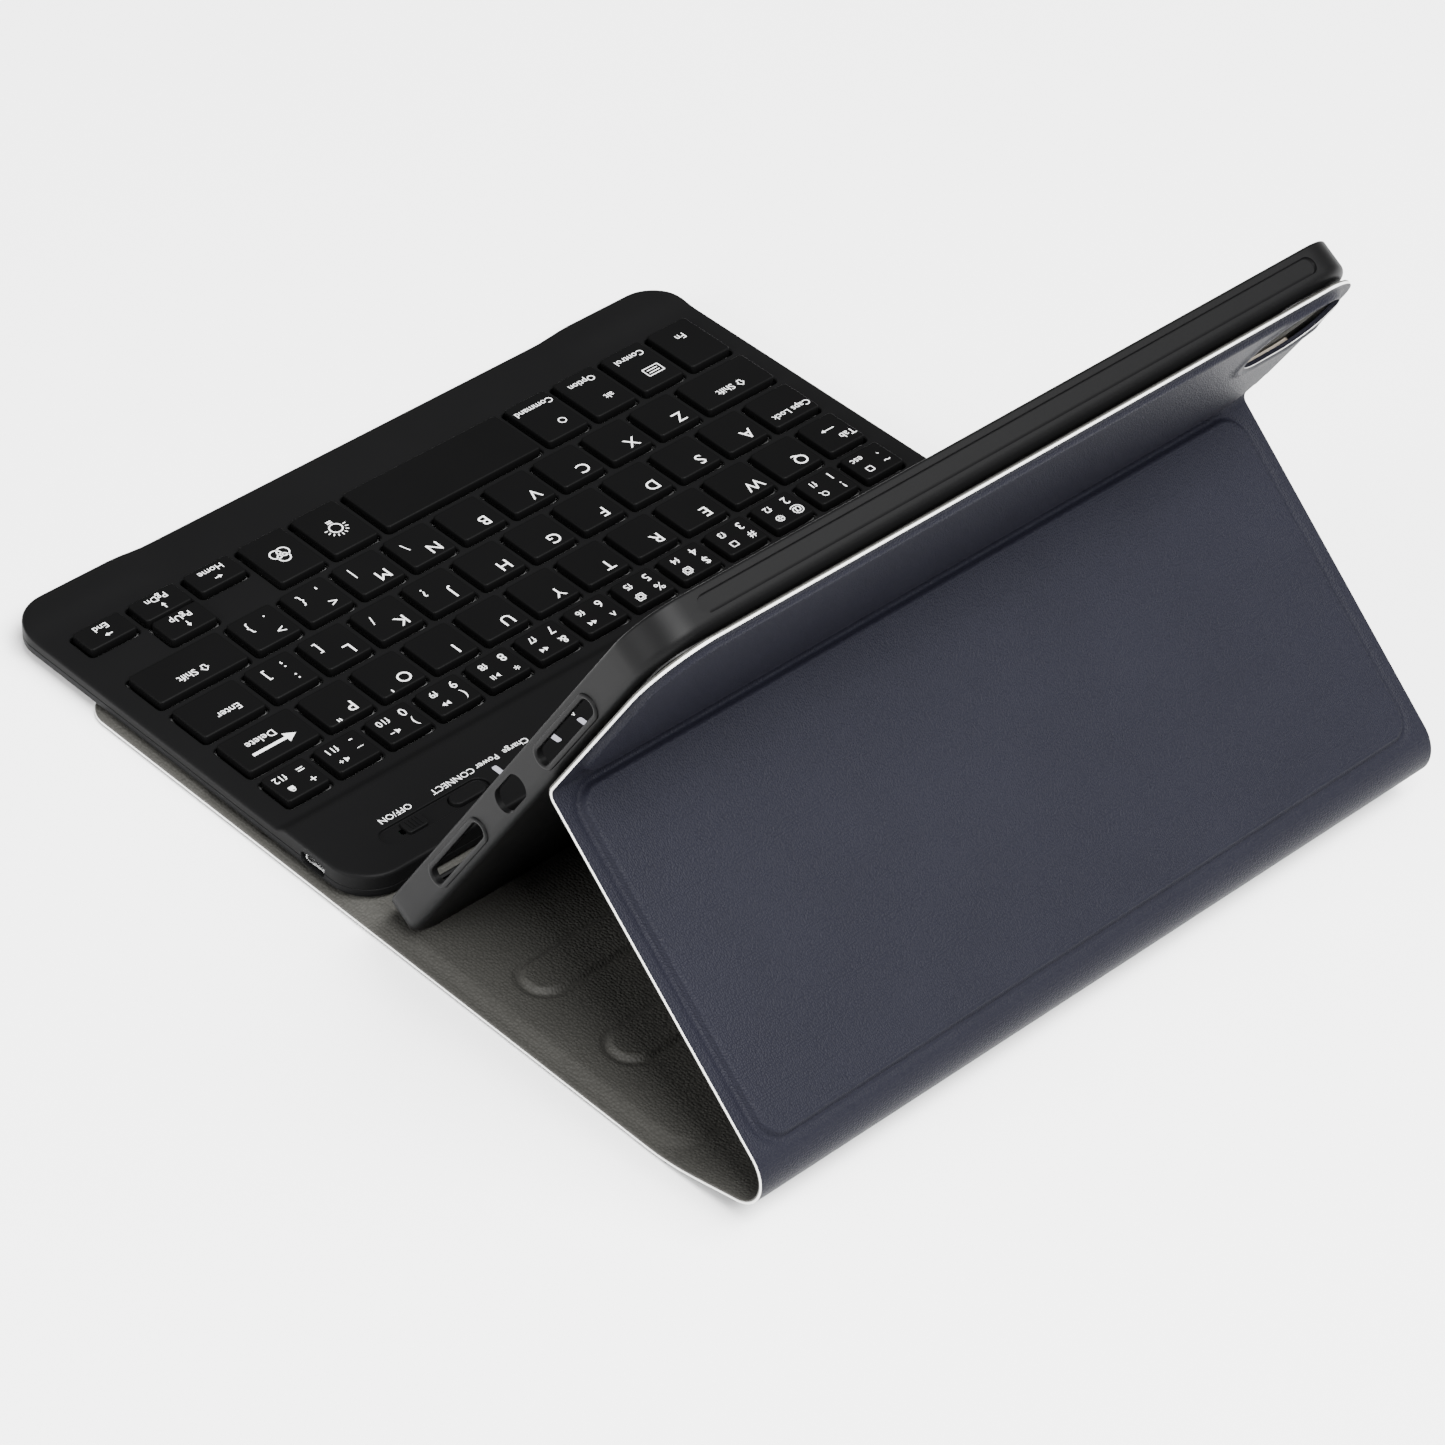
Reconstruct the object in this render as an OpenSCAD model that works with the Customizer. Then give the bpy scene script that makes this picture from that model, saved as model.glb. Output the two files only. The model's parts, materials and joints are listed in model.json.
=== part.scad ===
// Tablet keyboard case: a folding leather cover, a soft tablet tray and a detachable keyboard.
// X runs along the folds, Y from the front edge to the back spine, Z up from the table.

/* [Cover] */
// Width of the cover along its folds
cover_w = 254; // [250:1:262]
// Reach of the base in front of the tray's foot
base_front = 134; // [120:1:140]
// Distance from the tray's foot back to the first fold
base_back = 128; // [124:1:132]
// Thickness of the outer skin and of the lining
skin_t = 0.8; // [0.6:0.1:1]
// Thickness of the stiffening board
board_t = 1.4; // [1.2:0.1:1.6]
// Width of the sewn rim outside the boards
rim_w = 4.5; // [3:0.5:6]
// Corner radius at the front of the base
base_corner = 10; // [6:1:14]
// Corner radius at the top of the upper back
top_corner = 20; // [14:1:24]
// Gap left at each side of a fold line
fold_gap = 1.3; // [1.2:0.1:1.5]
// Gap left at each side of the crease, which folds further
crease_gap = 1.6; // [1.5:0.1:1.8]

/* [Stand] */
// Width of the spine strip between its two folds
spine_len = 22.65; // [20:0.05:25]
// Depth of the lower back panel
lower_len = 106.4; // [100:0.1:110]
// Depth of the upper back panel
upper_len = 75; // [70:1:80]
// Angle of the spine above the table
spine_angle = 68; // [64:1:70]
// Direction of the lower back, counted from the base
lower_angle = 138; // [136:1:140]
// Direction of the upper back, counted from the base
upper_angle = 59; // [57:1:61]

/* [Tray] */
// Width of the tray
tray_w = 251; // [247:1:252]
// Height of the tray
tray_h = 182.4; // [176:0.2:184]
// Depth of the tray from its back to its lip
tray_d = 11; // [10:0.5:12]
// Corner radius of the tray
tray_corner = 14; // [10:1:18]
// Reach of the tray above the crease
tray_above = 74.1; // [70:0.1:76]
// Wall thickness of the tray
tray_wall = 1.7; // [1.4:0.1:2]
// Rounding of the tray's back edge
tray_edge = 3; // [2:0.5:4]

/* [Keyboard] */
// Width of the keyboard
kb_w = 250; // [246:1:252]
// Depth of the keyboard
kb_d = 155; // [152:1:158]
// Corner radius of the keyboard
kb_corner = 13; // [10:1:16]
// Distance from the keyboard's middle to the tray's foot
kb_y = 93.3; // [92:0.1:95]
// Width of a letter key
key_w = 15.8; // [15:0.1:16.4]
// Gap between two keys
key_gap = 3.34; // [3:0.02:3.6]
// Travel of a key
key_travel = 1; // [0.8:0.1:1.2]

/* [Hidden] */
$fn = 48;

// Cover layers, measured from the middle of the pad
pad_t = 2 * skin_t + board_t;
skin_z = -pad_t / 2;
board_z = skin_z + skin_t;
lining_z = board_z + board_t;
pad_top = pad_t / 2;
plate_inset = 7;
groove_w = 2;

// Fold lines in the plane across the folds
fold_z = pad_t / 2;
spine_top_y = base_back + spine_len * cos(spine_angle);
spine_top_z = fold_z + spine_len * sin(spine_angle);
crease_y = spine_top_y + lower_len * cos(lower_angle);
crease_z = spine_top_z + lower_len * sin(lower_angle);

// The origin is under the middle of the outer box, so the tray's foot lies behind it
kb_front = kb_y + kb_d / 2;
spine_back = base_back + (spine_len - fold_gap) * cos(spine_angle) + pad_top * sin(spine_angle);
foot_y = (kb_front - spine_back) / 2;

// Front flap and wrap strip of the base
flap_back = -81;
wrap_back = -58;
board_back = 102;
strip_w = 12;
strip_len = 222;
strip_t = 0.7;
strip_places = [33.5, 68.3];
magnet_r = 5;
magnet_t = 1;
flap_magnet_x = [-95, -35, 35, 95];
dock_magnet_x = [-100, -50, 50, 100];
dock_magnet_y = -49.8;

// Camera opening, measured from the crease
camera_x = -107;
camera_up = 55;
camera_w = 30;
camera_h = 26;
camera_r = 11;

// Tray features, measured from the middle of its height
tape_t = 0.4;
tray_z = pad_top + tape_t;
tray_mid = tray_above - tray_h / 2;
tray_back_t = 1.8;
lip_t = 1.2;
lip_w = 2;
slot_z = tray_d - 5.6;
slot_up = 38;
slot_l = 34;
slot_w = 4.6;
slot_rim = 1.4;
slot_rim_t = 0.5;
port_l = 16;
port_w = 7;
pen_recess = 0.6;
pen_l = 219;
pen_w = 4.3;

// Keyboard heights, measured from the lining it lies on
foot_t = 0.6;
case_wall = 1.6;
floor_t = 1;
case_split = 3.4;
deck_z = 6.5;
deck_t = 1.2;
strip_z = 8.3;
strip_front = 45;
pad_z = 7.5;
key_top = 8.5;
key_bottom = 5.3;
key_r = 1.3;
key_clear = 0.6;
boss_z = foot_t + floor_t;
plate_z = 2.6;
plate_t = 0.5;
sheet_t = 0.3;
dome_t = 0.3;

// Key rows: front edge and depth of each
key_left = -117;
key_right = 117;
pitch = key_w + key_gap;
row_bottom = -57;
row_bottom_d = 21;
row_lower = -32.1;
row_home = -12.9;
row_upper = 6.3;
row_d = 15.3;
row_number = 25.2;
row_number_d = 12.7;
half_key_d = 9.8;
number_pitch = (key_right - key_left + key_gap) / 13;
nav_w = 16.4;
nav_pitch = nav_w + 3.3;
nav_left = key_right - 5 * nav_w - 4 * 3.3;

function letters(right_edge, count) = [for (i = [0 : count - 1]) right_edge - key_w + i * pitch];

// Each entry of a row: left edge, width, front edge, depth
number_keys = [for (i = [0 : 12]) [key_left + i * number_pitch, number_pitch - key_gap, row_number, row_number_d]];
upper_keys = [for (x = letters(-83.8, 10)) [x, key_w, row_upper, row_d]];
home_keys = [for (x = letters(-80.5, 10)) [x, key_w, row_home, row_d]];
lower_keys = [for (x = letters(-70.9, 9)) [x, key_w, row_lower, row_d]];
tab_place = [key_left, 14, row_upper, row_d];
caps_place = [key_left, 17.4, row_home, row_d];
left_shift_place = [key_left, 26.9, row_lower, row_d];
fn_place = [key_left, key_w, row_bottom, row_bottom_d];
control_place = [key_left + pitch, key_w, row_bottom, row_bottom_d];
option_place = [key_left + 2 * pitch, key_w, row_bottom, row_bottom_d];
command_place = [key_left + 3 * pitch, key_w, row_bottom, row_bottom_d];
space_place = [-40.6, 59.1, row_bottom, row_bottom_d];
light_place = [nav_left, nav_w, row_bottom, row_bottom_d];
colour_place = [nav_left + nav_pitch, nav_w, row_bottom, row_bottom_d];
home_place = [nav_left + 2 * nav_pitch, nav_w, row_bottom, half_key_d];
page_down_place = [nav_left + 3 * nav_pitch, nav_w, row_bottom, half_key_d];
page_up_place = [nav_left + 3 * nav_pitch, nav_w, row_bottom + row_bottom_d - half_key_d - 0.6, half_key_d + 0.6];
end_place = [nav_left + 4 * nav_pitch, nav_w, row_bottom, half_key_d];
right_shift_place = [85.5, key_right - 85.5, row_lower, row_d];
enter_place = [95.1, key_right - 95.1, row_home, row_d];
delete_place = [91.8, key_right - 91.8, row_upper, row_d];
single_keys = [
    tab_place, caps_place, left_shift_place, fn_place, control_place, option_place,
    command_place, space_place, light_place, colour_place, home_place, page_up_place,
    page_down_place, end_place, right_shift_place, enter_place, delete_place
];
all_keys = concat(number_keys, upper_keys, home_keys, lower_keys, single_keys);

// Controls on the keyboard's back strip
control_y = 66;
recess_left = 70.7;
recess_len = 37.7;
recess_w = 7;
recess_floor = 7.3;
recess_floor_t = 1;
slider_x = 98.5;
slider_travel = 3;
button_x = 78;
led_x = [34.4, 44.8, 55.2, 65.6];
led_y = 64.5;
led_w = 1.8;
led_l = 4;
board_top = foot_t + floor_t + 0.8;
socket_y = 57;
socket_w = 7.6;
socket_h = 2.6;
socket_l = 5.6;
mouth_w = 9;
mouth_h = 3.2;
screw_places = [for (x = [-120.5, 120.5]) for (y = [-60, -20, 20, 68]) [x, y]];

module base_at() translate([0, foot_y, fold_z]) children();
module spine_at() translate([0, foot_y + base_back, fold_z]) rotate([spine_angle, 0, 0]) children();
module lower_at() translate([0, foot_y + spine_top_y, spine_top_z]) rotate([lower_angle, 0, 0]) children();
module upper_at() translate([0, foot_y + crease_y, crease_z]) rotate([upper_angle, 0, 0]) children();
module tray_at() upper_at() translate([0, tray_mid, tray_z]) children();
module keyboard_at() translate([0, foot_y - kb_y, pad_t]) children();

// Flat outline from y0 to y1, with corner radii r0 at y0 and r1 at y1
module outline(w, y0, y1, r0, r1) {
    translate([-w / 2, y0 + r0]) square([w, y1 - y0 - r0 - r1]);
    if (r0 > 0) end_band(w, y0 + r0, r0, -1);
    if (r1 > 0) end_band(w, y1 - r1, r1, 1);
}

// Rounded band of depth r that closes an outline at the line y
module end_band(w, y, r, side) {
    translate([-w / 2 + r, side > 0 ? y : y - r]) square([w - 2 * r, r]);
    for (s = [-1, 1]) translate([s * (w / 2 - r), y]) circle(r = r);
}

// Rounded rectangle about its own middle
module plate(w, d, r) outline(w, -d / 2, d / 2, r, r);

// Slot outline with round ends, its length along X
module stadium(l, w) {
    square([l - w, w], center = true);
    for (s = [-1, 1]) translate([s * (l - w) / 2, 0]) circle(r = w / 2);
}

module slab(z, t) translate([0, 0, z]) linear_extrude(height = t) children();

// Outer skin of a panel: a sheet with a thicker rim at its free edges
module skin(y0, y1, r0, r1, free0, free1) {
    slab(skin_z, skin_t) outline(cover_w, y0, y1, r0, r1);
    slab(board_z, board_t) difference() {
        outline(cover_w, y0, y1, r0, r1);
        outline(
            cover_w - 2 * rim_w,
            free0 ? y0 + rim_w : y0 - 1,
            free1 ? y1 - rim_w : y1 + 1,
            max(r0 - rim_w, 0),
            max(r1 - rim_w, 0)
        );
    }
}

module camera_hole(grow) translate([camera_x, camera_up]) plate(camera_w + 2 * grow, camera_h + 2 * grow, camera_r + grow);

module base_outer_skin() {
    color("midnightblue") base_at() skin(-base_front, base_back - fold_gap, base_corner, 0, true, false);
}

module board(y0, y1, inset, r) {
    color("tan") slab(board_z, board_t) outline(cover_w - 2 * inset, y0, y1, r, r);
}

module magnet_pockets(places_x, y) {
    for (x = places_x) translate([x, y, board_z - 1]) cylinder(r = magnet_r + 0.2, h = board_t + 2);
}

module magnets(places_x, y) {
    for (x = places_x) translate([x, y, -magnet_t / 2]) cylinder(r = magnet_r, h = magnet_t);
}

module base_board() {
    base_at() difference() {
        board(wrap_back + groove_w / 2, board_back, plate_inset, 6);
        magnet_pockets(dock_magnet_x, dock_magnet_y);
    }
}

module wrap_board() base_at() board(flap_back + groove_w / 2, wrap_back - groove_w / 2, plate_inset, 2);

module flap_board() {
    base_at() difference() {
        board(-base_front + rim_w + 0.3, flap_back - groove_w / 2, rim_w + 0.3, 5);
        magnet_pockets(flap_magnet_x, flap_back - 25);
    }
}

module flap_magnets() color("silver") base_at() magnets(flap_magnet_x, flap_back - 25);

module dock_magnets() color("silver") base_at() magnets(dock_magnet_x, dock_magnet_y);

module stop_strips() {
    color("tan") base_at() for (y = strip_places)
        translate([0, y]) slab(lining_z, strip_t) stadium(strip_len - 2, strip_w - 2);
}

module base_lining() {
    color("dimgray") base_at() difference() {
        union() {
            slab(lining_z, skin_t) outline(cover_w, -base_front, base_back - fold_gap, base_corner, 0);
            for (y = strip_places) translate([0, y]) slab(lining_z, skin_t + strip_t) stadium(strip_len, strip_w);
        }
        for (y = strip_places)
            translate([0, y]) slab(lining_z - 1, strip_t + 1) stadium(strip_len - 2, strip_w - 2);
    }
}

module spine_skin() color("midnightblue") spine_at() skin(fold_gap, spine_len - fold_gap, 0, 0, false, false);

module spine_board() spine_at() board(fold_gap + 2, spine_len - fold_gap - 2, plate_inset, 2);

module spine_lining() {
    color("dimgray") spine_at() slab(lining_z, skin_t) outline(cover_w, fold_gap, spine_len - fold_gap, 0, 0);
}

module lower_back_skin() color("midnightblue") lower_at() skin(fold_gap, lower_len - crease_gap, 0, 0, false, false);

module lower_back_board() lower_at() board(4.7, lower_len - 4.2, plate_inset, 6);

module lower_back_lining() {
    color("dimgray") lower_at() slab(lining_z, skin_t) outline(cover_w, fold_gap, lower_len - crease_gap, 0, 0);
}

module upper_back_skin() {
    color("midnightblue") upper_at() difference() {
        union() {
            skin(crease_gap, upper_len, 0, top_corner, false, true);
            slab(skin_z - 0.5, skin_t + 0.5) camera_hole(4);
            slab(board_z - 0.1, board_t + 0.1) camera_hole(2);
        }
        slab(skin_z - 2, pad_t + 2) camera_hole(0);
    }
}

module upper_back_board() {
    upper_at() difference() {
        board(4.2, upper_len - rim_w - 0.3, rim_w + 0.3, 4);
        slab(board_z - 1, board_t + 2) camera_hole(2.3);
        for (s = [-1, 1]) translate([s * (cover_w / 2 - rim_w), upper_len - rim_w, board_z - 1]) corner_cut();
    }
}

// Cutter that leaves a board's corner clear of the rounded rim
module corner_cut() {
    r = top_corner - rim_w;
    linear_extrude(height = board_t + 2) rotate(45) square(2 * r * 0.62, center = true);
}

module upper_back_lining() {
    color("dimgray") upper_at() difference() {
        slab(lining_z, skin_t) outline(cover_w, crease_gap, upper_len, 0, top_corner);
        slab(lining_z - 1, skin_t + 2) camera_hole(0);
    }
}

module tray_adhesive() {
    color("gainsboro") upper_at() difference() {
        slab(pad_top, tape_t) outline(tray_w - 8, 6, tray_above - 6, 8, 8);
        slab(pad_top - 1, tape_t + 2) camera_hole(1.5);
    }
}

// Stadium-shaped hole through a side wall, its length along the tray's height
module side_cut(l, w, depth) rotate([0, 90, 0]) translate([0, 0, -depth / 2]) linear_extrude(height = depth) rotate(90) stadium(l, w);

module tablet_tray() {
    color([0.17, 0.17, 0.18]) tray_at() difference() {
        union() {
            hull() {
                slab(0, 0.1) plate(tray_w - 2 * tray_edge, tray_h - 2 * tray_edge, tray_corner - tray_edge);
                slab(tray_edge, 0.1) plate(tray_w, tray_h, tray_corner);
            }
            slab(tray_edge, tray_d - tray_edge) plate(tray_w, tray_h, tray_corner);
            for (s = [-1, 1]) for (up = [-slot_up, slot_up])
                translate([s * (tray_w / 2 + slot_rim_t / 2 - 0.5), up, slot_z])
                    side_cut(slot_l + 2 * slot_rim, slot_w + 2 * slot_rim, slot_rim_t + 1);
        }
        slab(tray_back_t, tray_d - tray_back_t - lip_t)
            plate(tray_w - 2 * tray_wall, tray_h - 2 * tray_wall, tray_corner - tray_wall);
        slab(tray_back_t, tray_d)
            plate(tray_w - 2 * (tray_wall + lip_w), tray_h - 2 * (tray_wall + lip_w), tray_corner - tray_wall - lip_w);
        for (s = [-1, 1]) for (up = [-slot_up, slot_up])
            translate([s * tray_w / 2, up, slot_z]) side_cut(slot_l, slot_w, 8);
        translate([tray_w / 2, 0, slot_z]) side_cut(port_l, port_w, 8);
        translate([0, tray_h / 2, tray_d - 4.85]) rotate([90, 0, 0])
            translate([0, 0, -1]) linear_extrude(height = pen_recess + 1) stadium(pen_l, pen_w);
        translate([0, -tray_mid, 0]) slab(-1, tray_back_t + 2) camera_hole(0.5);
    }
}

// Opening of the charging socket in the right wall
module mouth() {
    translate([kb_w / 2 - 4, socket_y - mouth_w / 2, board_top + socket_h / 2 - mouth_h / 2]) cube([8, mouth_w, mouth_h]);
}

module keyboard_bottom_case() {
    color([0.11, 0.11, 0.12]) keyboard_at() difference() {
        slab(foot_t, case_split - foot_t) plate(kb_w, kb_d, kb_corner);
        slab(foot_t + floor_t, case_split) plate(kb_w - 2 * case_wall, kb_d - 2 * case_wall, kb_corner - case_wall);
        for (p = screw_places) translate([p[0], p[1], 0]) cylinder(r = 1, h = 4);
        for (p = screw_places) translate([p[0], p[1], 0]) cylinder(r = 2, h = foot_t + 0.5);
        mouth();
    }
}

module keyboard_top_case() {
    color([0.09, 0.09, 0.1]) keyboard_at() difference() {
        union() {
            difference() {
                union() {
                    slab(case_split, deck_z - case_split) plate(kb_w, kb_d, kb_corner);
                    slab(deck_z, strip_z - deck_z) outline(kb_w, strip_front, kb_d / 2, 0, kb_corner);
                    for (s = [-1, 1]) slab(deck_z, pad_z - deck_z) intersection() {
                        plate(kb_w, kb_d, kb_corner);
                        translate([s * 116, -kb_d / 2]) square([26, 30], center = true);
                    }
                }
                slab(case_split - 1, deck_z - deck_t - case_split + 1)
                    plate(kb_w - 2 * case_wall, kb_d - 2 * case_wall, kb_corner - case_wall);
                slab(deck_z - deck_t - 1, strip_z - deck_z + 1)
                    outline(kb_w - 2 * case_wall, strip_front + deck_t, kb_d / 2 - case_wall, 0, kb_corner - case_wall);
            }
            for (p = screw_places) translate([p[0], p[1], boss_z])
                cylinder(r = 2.2, h = (p[1] > strip_front ? strip_z : deck_z) - boss_z - 0.4);
            translate([recess_left + recess_len / 2, control_y])
                slab(recess_floor - recess_floor_t, strip_z - recess_floor + recess_floor_t)
                stadium(recess_len + 3, recess_w + 3);
        }
        for (k = all_keys) slab(0, 12) translate([k[0] - key_clear, k[2] - key_clear]) square([k[1] + 2 * key_clear, k[3] + 2 * key_clear]);
        for (p = screw_places) translate([p[0], p[1], 0]) cylinder(r = 0.8, h = 5.2);
        translate([recess_left + recess_len / 2, control_y]) slab(recess_floor, 4) stadium(recess_len, recess_w);
        translate([slider_x, control_y]) slab(2, 8) plate(3 + slider_travel + 0.8, 2.2, 0.4);
        translate([button_x, control_y]) slab(2, 8) plate(12.6, 5.6, 2.7);
        for (x = led_x) translate([x, led_y]) slab(2, 8) plate(led_w, led_l, 0.6);
        mouth();
    }
}

module keyboard_feet() {
    color("dimgray") keyboard_at() for (x = [-108, 108]) for (y = [-58, 62]) translate([x, y]) slab(0, foot_t) plate(14, 6, 2.9);
}

module case_screws() {
    color("silver") keyboard_at() for (p = screw_places) translate([p[0], p[1], 0]) {
        translate([0, 0, foot_t]) cylinder(r = 1.7, h = 0.5);
        translate([0, 0, foot_t + 0.5]) cylinder(r = 0.8, h = 3.6);
    }
}

module keyboard_magnets() {
    color("silver") keyboard_at() for (x = dock_magnet_x)
        translate([x, kb_y + dock_magnet_y, foot_t + floor_t]) cylinder(r = magnet_r, h = 1);
}

module key_sheet(z, t) slab(z, t) outline(2 * 117, row_bottom, row_number + row_number_d, 2, 2);

module support_plate() color("silver") keyboard_at() key_sheet(plate_z, plate_t);

module circuit_sheet() color("lightgreen") keyboard_at() key_sheet(plate_z + plate_t, sheet_t);

// Middle of a key's footprint
function middle(k) = [k[0] + k[1] / 2, k[2] + k[3] / 2];

module dome_sheet() {
    color("white") keyboard_at() {
        key_sheet(plate_z + plate_t + sheet_t, dome_t);
        for (k = all_keys) translate(middle(k)) translate([0, 0, plate_z + plate_t + sheet_t + dome_t - 0.05])
            cylinder(r1 = 1.7, r2 = 1.2, h = 0.5);
    }
}

module scissor_frames() {
    color("lightgray") keyboard_at() for (k = all_keys) translate(middle(k))
        slab(plate_z + plate_t + sheet_t + dome_t, 0.5) difference() {
            plate(min(k[1], 30) - 5, min(k[3], 15) - 4, 0.5);
            plate(min(k[1], 30) - 7.4, min(k[3], 15) - 6, 0.4);
        }
}

module battery() {
    color("lightsteelblue") keyboard_at() translate([-40, 61]) slab(foot_t + floor_t, 3.6) plate(70, 24, 1.5);
}

module control_board() {
    color("darkgreen") keyboard_at() translate([72, 61]) slab(foot_t + floor_t, 0.8) plate(92, 24, 1);
}

module charging_socket() {
    color("silver") keyboard_at() translate([kb_w / 2 - 1 - socket_l, socket_y - socket_w / 2, board_top]) {
        difference() {
            cube([socket_l, socket_w, socket_h]);
            translate([0.8, 0.4, 0.4]) cube([socket_l, socket_w - 0.8, socket_h - 0.8]);
        }
        translate([0.4, 1.6, 1.3]) cube([socket_l - 1.4, socket_w - 3.2, 0.6]);
    }
}

module slide_switch() {
    color("silver") keyboard_at() translate([slider_x, control_y]) {
        slab(board_top, 2) plate(9, 4, 0.3);
        translate([-slider_travel / 2, 0]) slab(board_top + 2, 0.5) plate(1.5, 1.5, 0.2);
    }
}

module tact_switch() {
    color("silver") keyboard_at() translate([button_x, control_y]) {
        slab(board_top, 1.4) plate(5, 5, 0.4);
        slab(board_top + 1.4, 0.5) circle(r = 1.3);
    }
}

module status_leds() {
    color("white") keyboard_at() for (x = led_x) translate([x, led_y]) slab(board_top, 0.6) plate(1.6, 1, 0.1);
}

module led_windows() {
    color([0.8, 0.8, 0.82]) keyboard_at() for (x = led_x)
        translate([x, led_y]) slab(strip_z - deck_t, deck_t) plate(led_w, led_l, 0.6);
}

module power_slider() {
    color([0.14, 0.14, 0.15]) keyboard_at() translate([slider_x - slider_travel / 2, control_y]) {
        slab(recess_floor + 0.1, 1.2) plate(7, 5, 1);
        slab(6, recess_floor + 0.2 - 6) plate(2.8, 1.8, 0.3);
        slab(5.1, 1) plate(5.2, 4, 0.4);
    }
}

module connect_button() {
    color([0.14, 0.14, 0.15]) keyboard_at() translate([button_x, control_y]) {
        slab(5.6, strip_z + 0.2 - 5.6) plate(12, 5, 2.45);
        slab(5.2, 0.7) plate(13.6, 6.6, 3.2);
    }
}

module keys(places) {
    color([0.1, 0.1, 0.1]) keyboard_at() for (k = places)
        translate(middle(k)) slab(key_bottom, key_top - key_bottom) plate(k[1], k[3], key_r);
}

module number_row_keys() keys(number_keys);
module upper_row_keys() keys(upper_keys);
module home_row_keys() keys(home_keys);
module lower_row_keys() keys(lower_keys);
module tab_key() keys([tab_place]);
module caps_lock_key() keys([caps_place]);
module left_shift_key() keys([left_shift_place]);
module fn_key() keys([fn_place]);
module control_key() keys([control_place]);
module option_key() keys([option_place]);
module command_key() keys([command_place]);
module space_key() keys([space_place]);
module light_key() keys([light_place]);
module colour_key() keys([colour_place]);
module home_key() keys([home_place]);
module page_up_key() keys([page_up_place]);
module page_down_key() keys([page_down_place]);
module end_key() keys([end_place]);
module right_shift_key() keys([right_shift_place]);
module enter_key() keys([enter_place]);
module delete_key() keys([delete_place]);

base_outer_skin();
base_board();
wrap_board();
flap_board();
flap_magnets();
dock_magnets();
stop_strips();
base_lining();
spine_skin();
spine_board();
spine_lining();
lower_back_skin();
lower_back_board();
lower_back_lining();
upper_back_skin();
upper_back_board();
upper_back_lining();
tray_adhesive();
tablet_tray();
keyboard_bottom_case();
keyboard_top_case();
keyboard_feet();
case_screws();
keyboard_magnets();
support_plate();
circuit_sheet();
dome_sheet();
scissor_frames();
battery();
control_board();
charging_socket();
slide_switch();
tact_switch();
status_leds();
led_windows();
power_slider();
connect_button();
number_row_keys();
upper_row_keys();
home_row_keys();
lower_row_keys();
tab_key();
caps_lock_key();
left_shift_key();
fn_key();
control_key();
option_key();
command_key();
space_key();
light_key();
colour_key();
home_key();
page_up_key();
page_down_key();
end_key();
right_shift_key();
enter_key();
delete_key();
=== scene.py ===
import json
import math

import bmesh
import bpy
import numpy as np
from mathutils import Matrix, Vector


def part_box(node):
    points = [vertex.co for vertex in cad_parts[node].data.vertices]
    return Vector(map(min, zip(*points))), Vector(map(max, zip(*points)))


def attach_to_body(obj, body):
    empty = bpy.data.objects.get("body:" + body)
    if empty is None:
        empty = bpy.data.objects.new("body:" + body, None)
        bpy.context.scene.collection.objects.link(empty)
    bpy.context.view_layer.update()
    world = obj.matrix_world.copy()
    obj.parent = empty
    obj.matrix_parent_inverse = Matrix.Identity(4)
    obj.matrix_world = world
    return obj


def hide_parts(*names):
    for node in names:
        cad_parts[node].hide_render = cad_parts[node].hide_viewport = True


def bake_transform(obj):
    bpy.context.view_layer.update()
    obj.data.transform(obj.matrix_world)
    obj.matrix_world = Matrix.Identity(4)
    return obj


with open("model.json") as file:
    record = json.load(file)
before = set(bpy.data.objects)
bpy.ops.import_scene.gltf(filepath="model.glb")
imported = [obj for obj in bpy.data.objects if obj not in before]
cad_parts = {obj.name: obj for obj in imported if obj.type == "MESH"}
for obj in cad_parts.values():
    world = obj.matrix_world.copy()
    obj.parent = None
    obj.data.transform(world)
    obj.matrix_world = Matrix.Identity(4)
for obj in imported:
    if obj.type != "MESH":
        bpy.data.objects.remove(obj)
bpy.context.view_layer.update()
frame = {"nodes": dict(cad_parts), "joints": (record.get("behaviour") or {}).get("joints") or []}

bl_info = {
    "name": "Tablet keyboard case",
    "version": (1, 0, 0),
    "blender": (4, 5, 0),
    "location": "3D View > Sidebar > Case",
    "description": "Leather cover, soft tray and detachable keyboard around the packed frame",
    "category": "Object",
}

MM = 0.001
TINY = 1e-6


# ---------------------------------------------------------------- frame measures

def joint_point(name):
    """Place of a fold line across the cover, as (y, z)."""
    joint = next(j for j in frame["joints"] if j["name"] == name)
    return np.array(joint["pos_m"][1:], float)


def joint_turn(name):
    """Full turn of a joint in radians."""
    joint = next(j for j in frame["joints"] if j["name"] == name)
    return math.radians(joint["range_deg"][1] - joint["range_deg"][0])


def unit(v):
    return v / np.linalg.norm(v)


def turned(v, angle):
    c, s = math.cos(angle), math.sin(angle)
    return np.array([c * v[0] - s * v[1], s * v[0] + c * v[1]])


def outward(d):
    """Outer normal of a panel that runs along d, with the cover walked from the front to the top."""
    return np.array([d[1], -d[0]])


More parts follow.
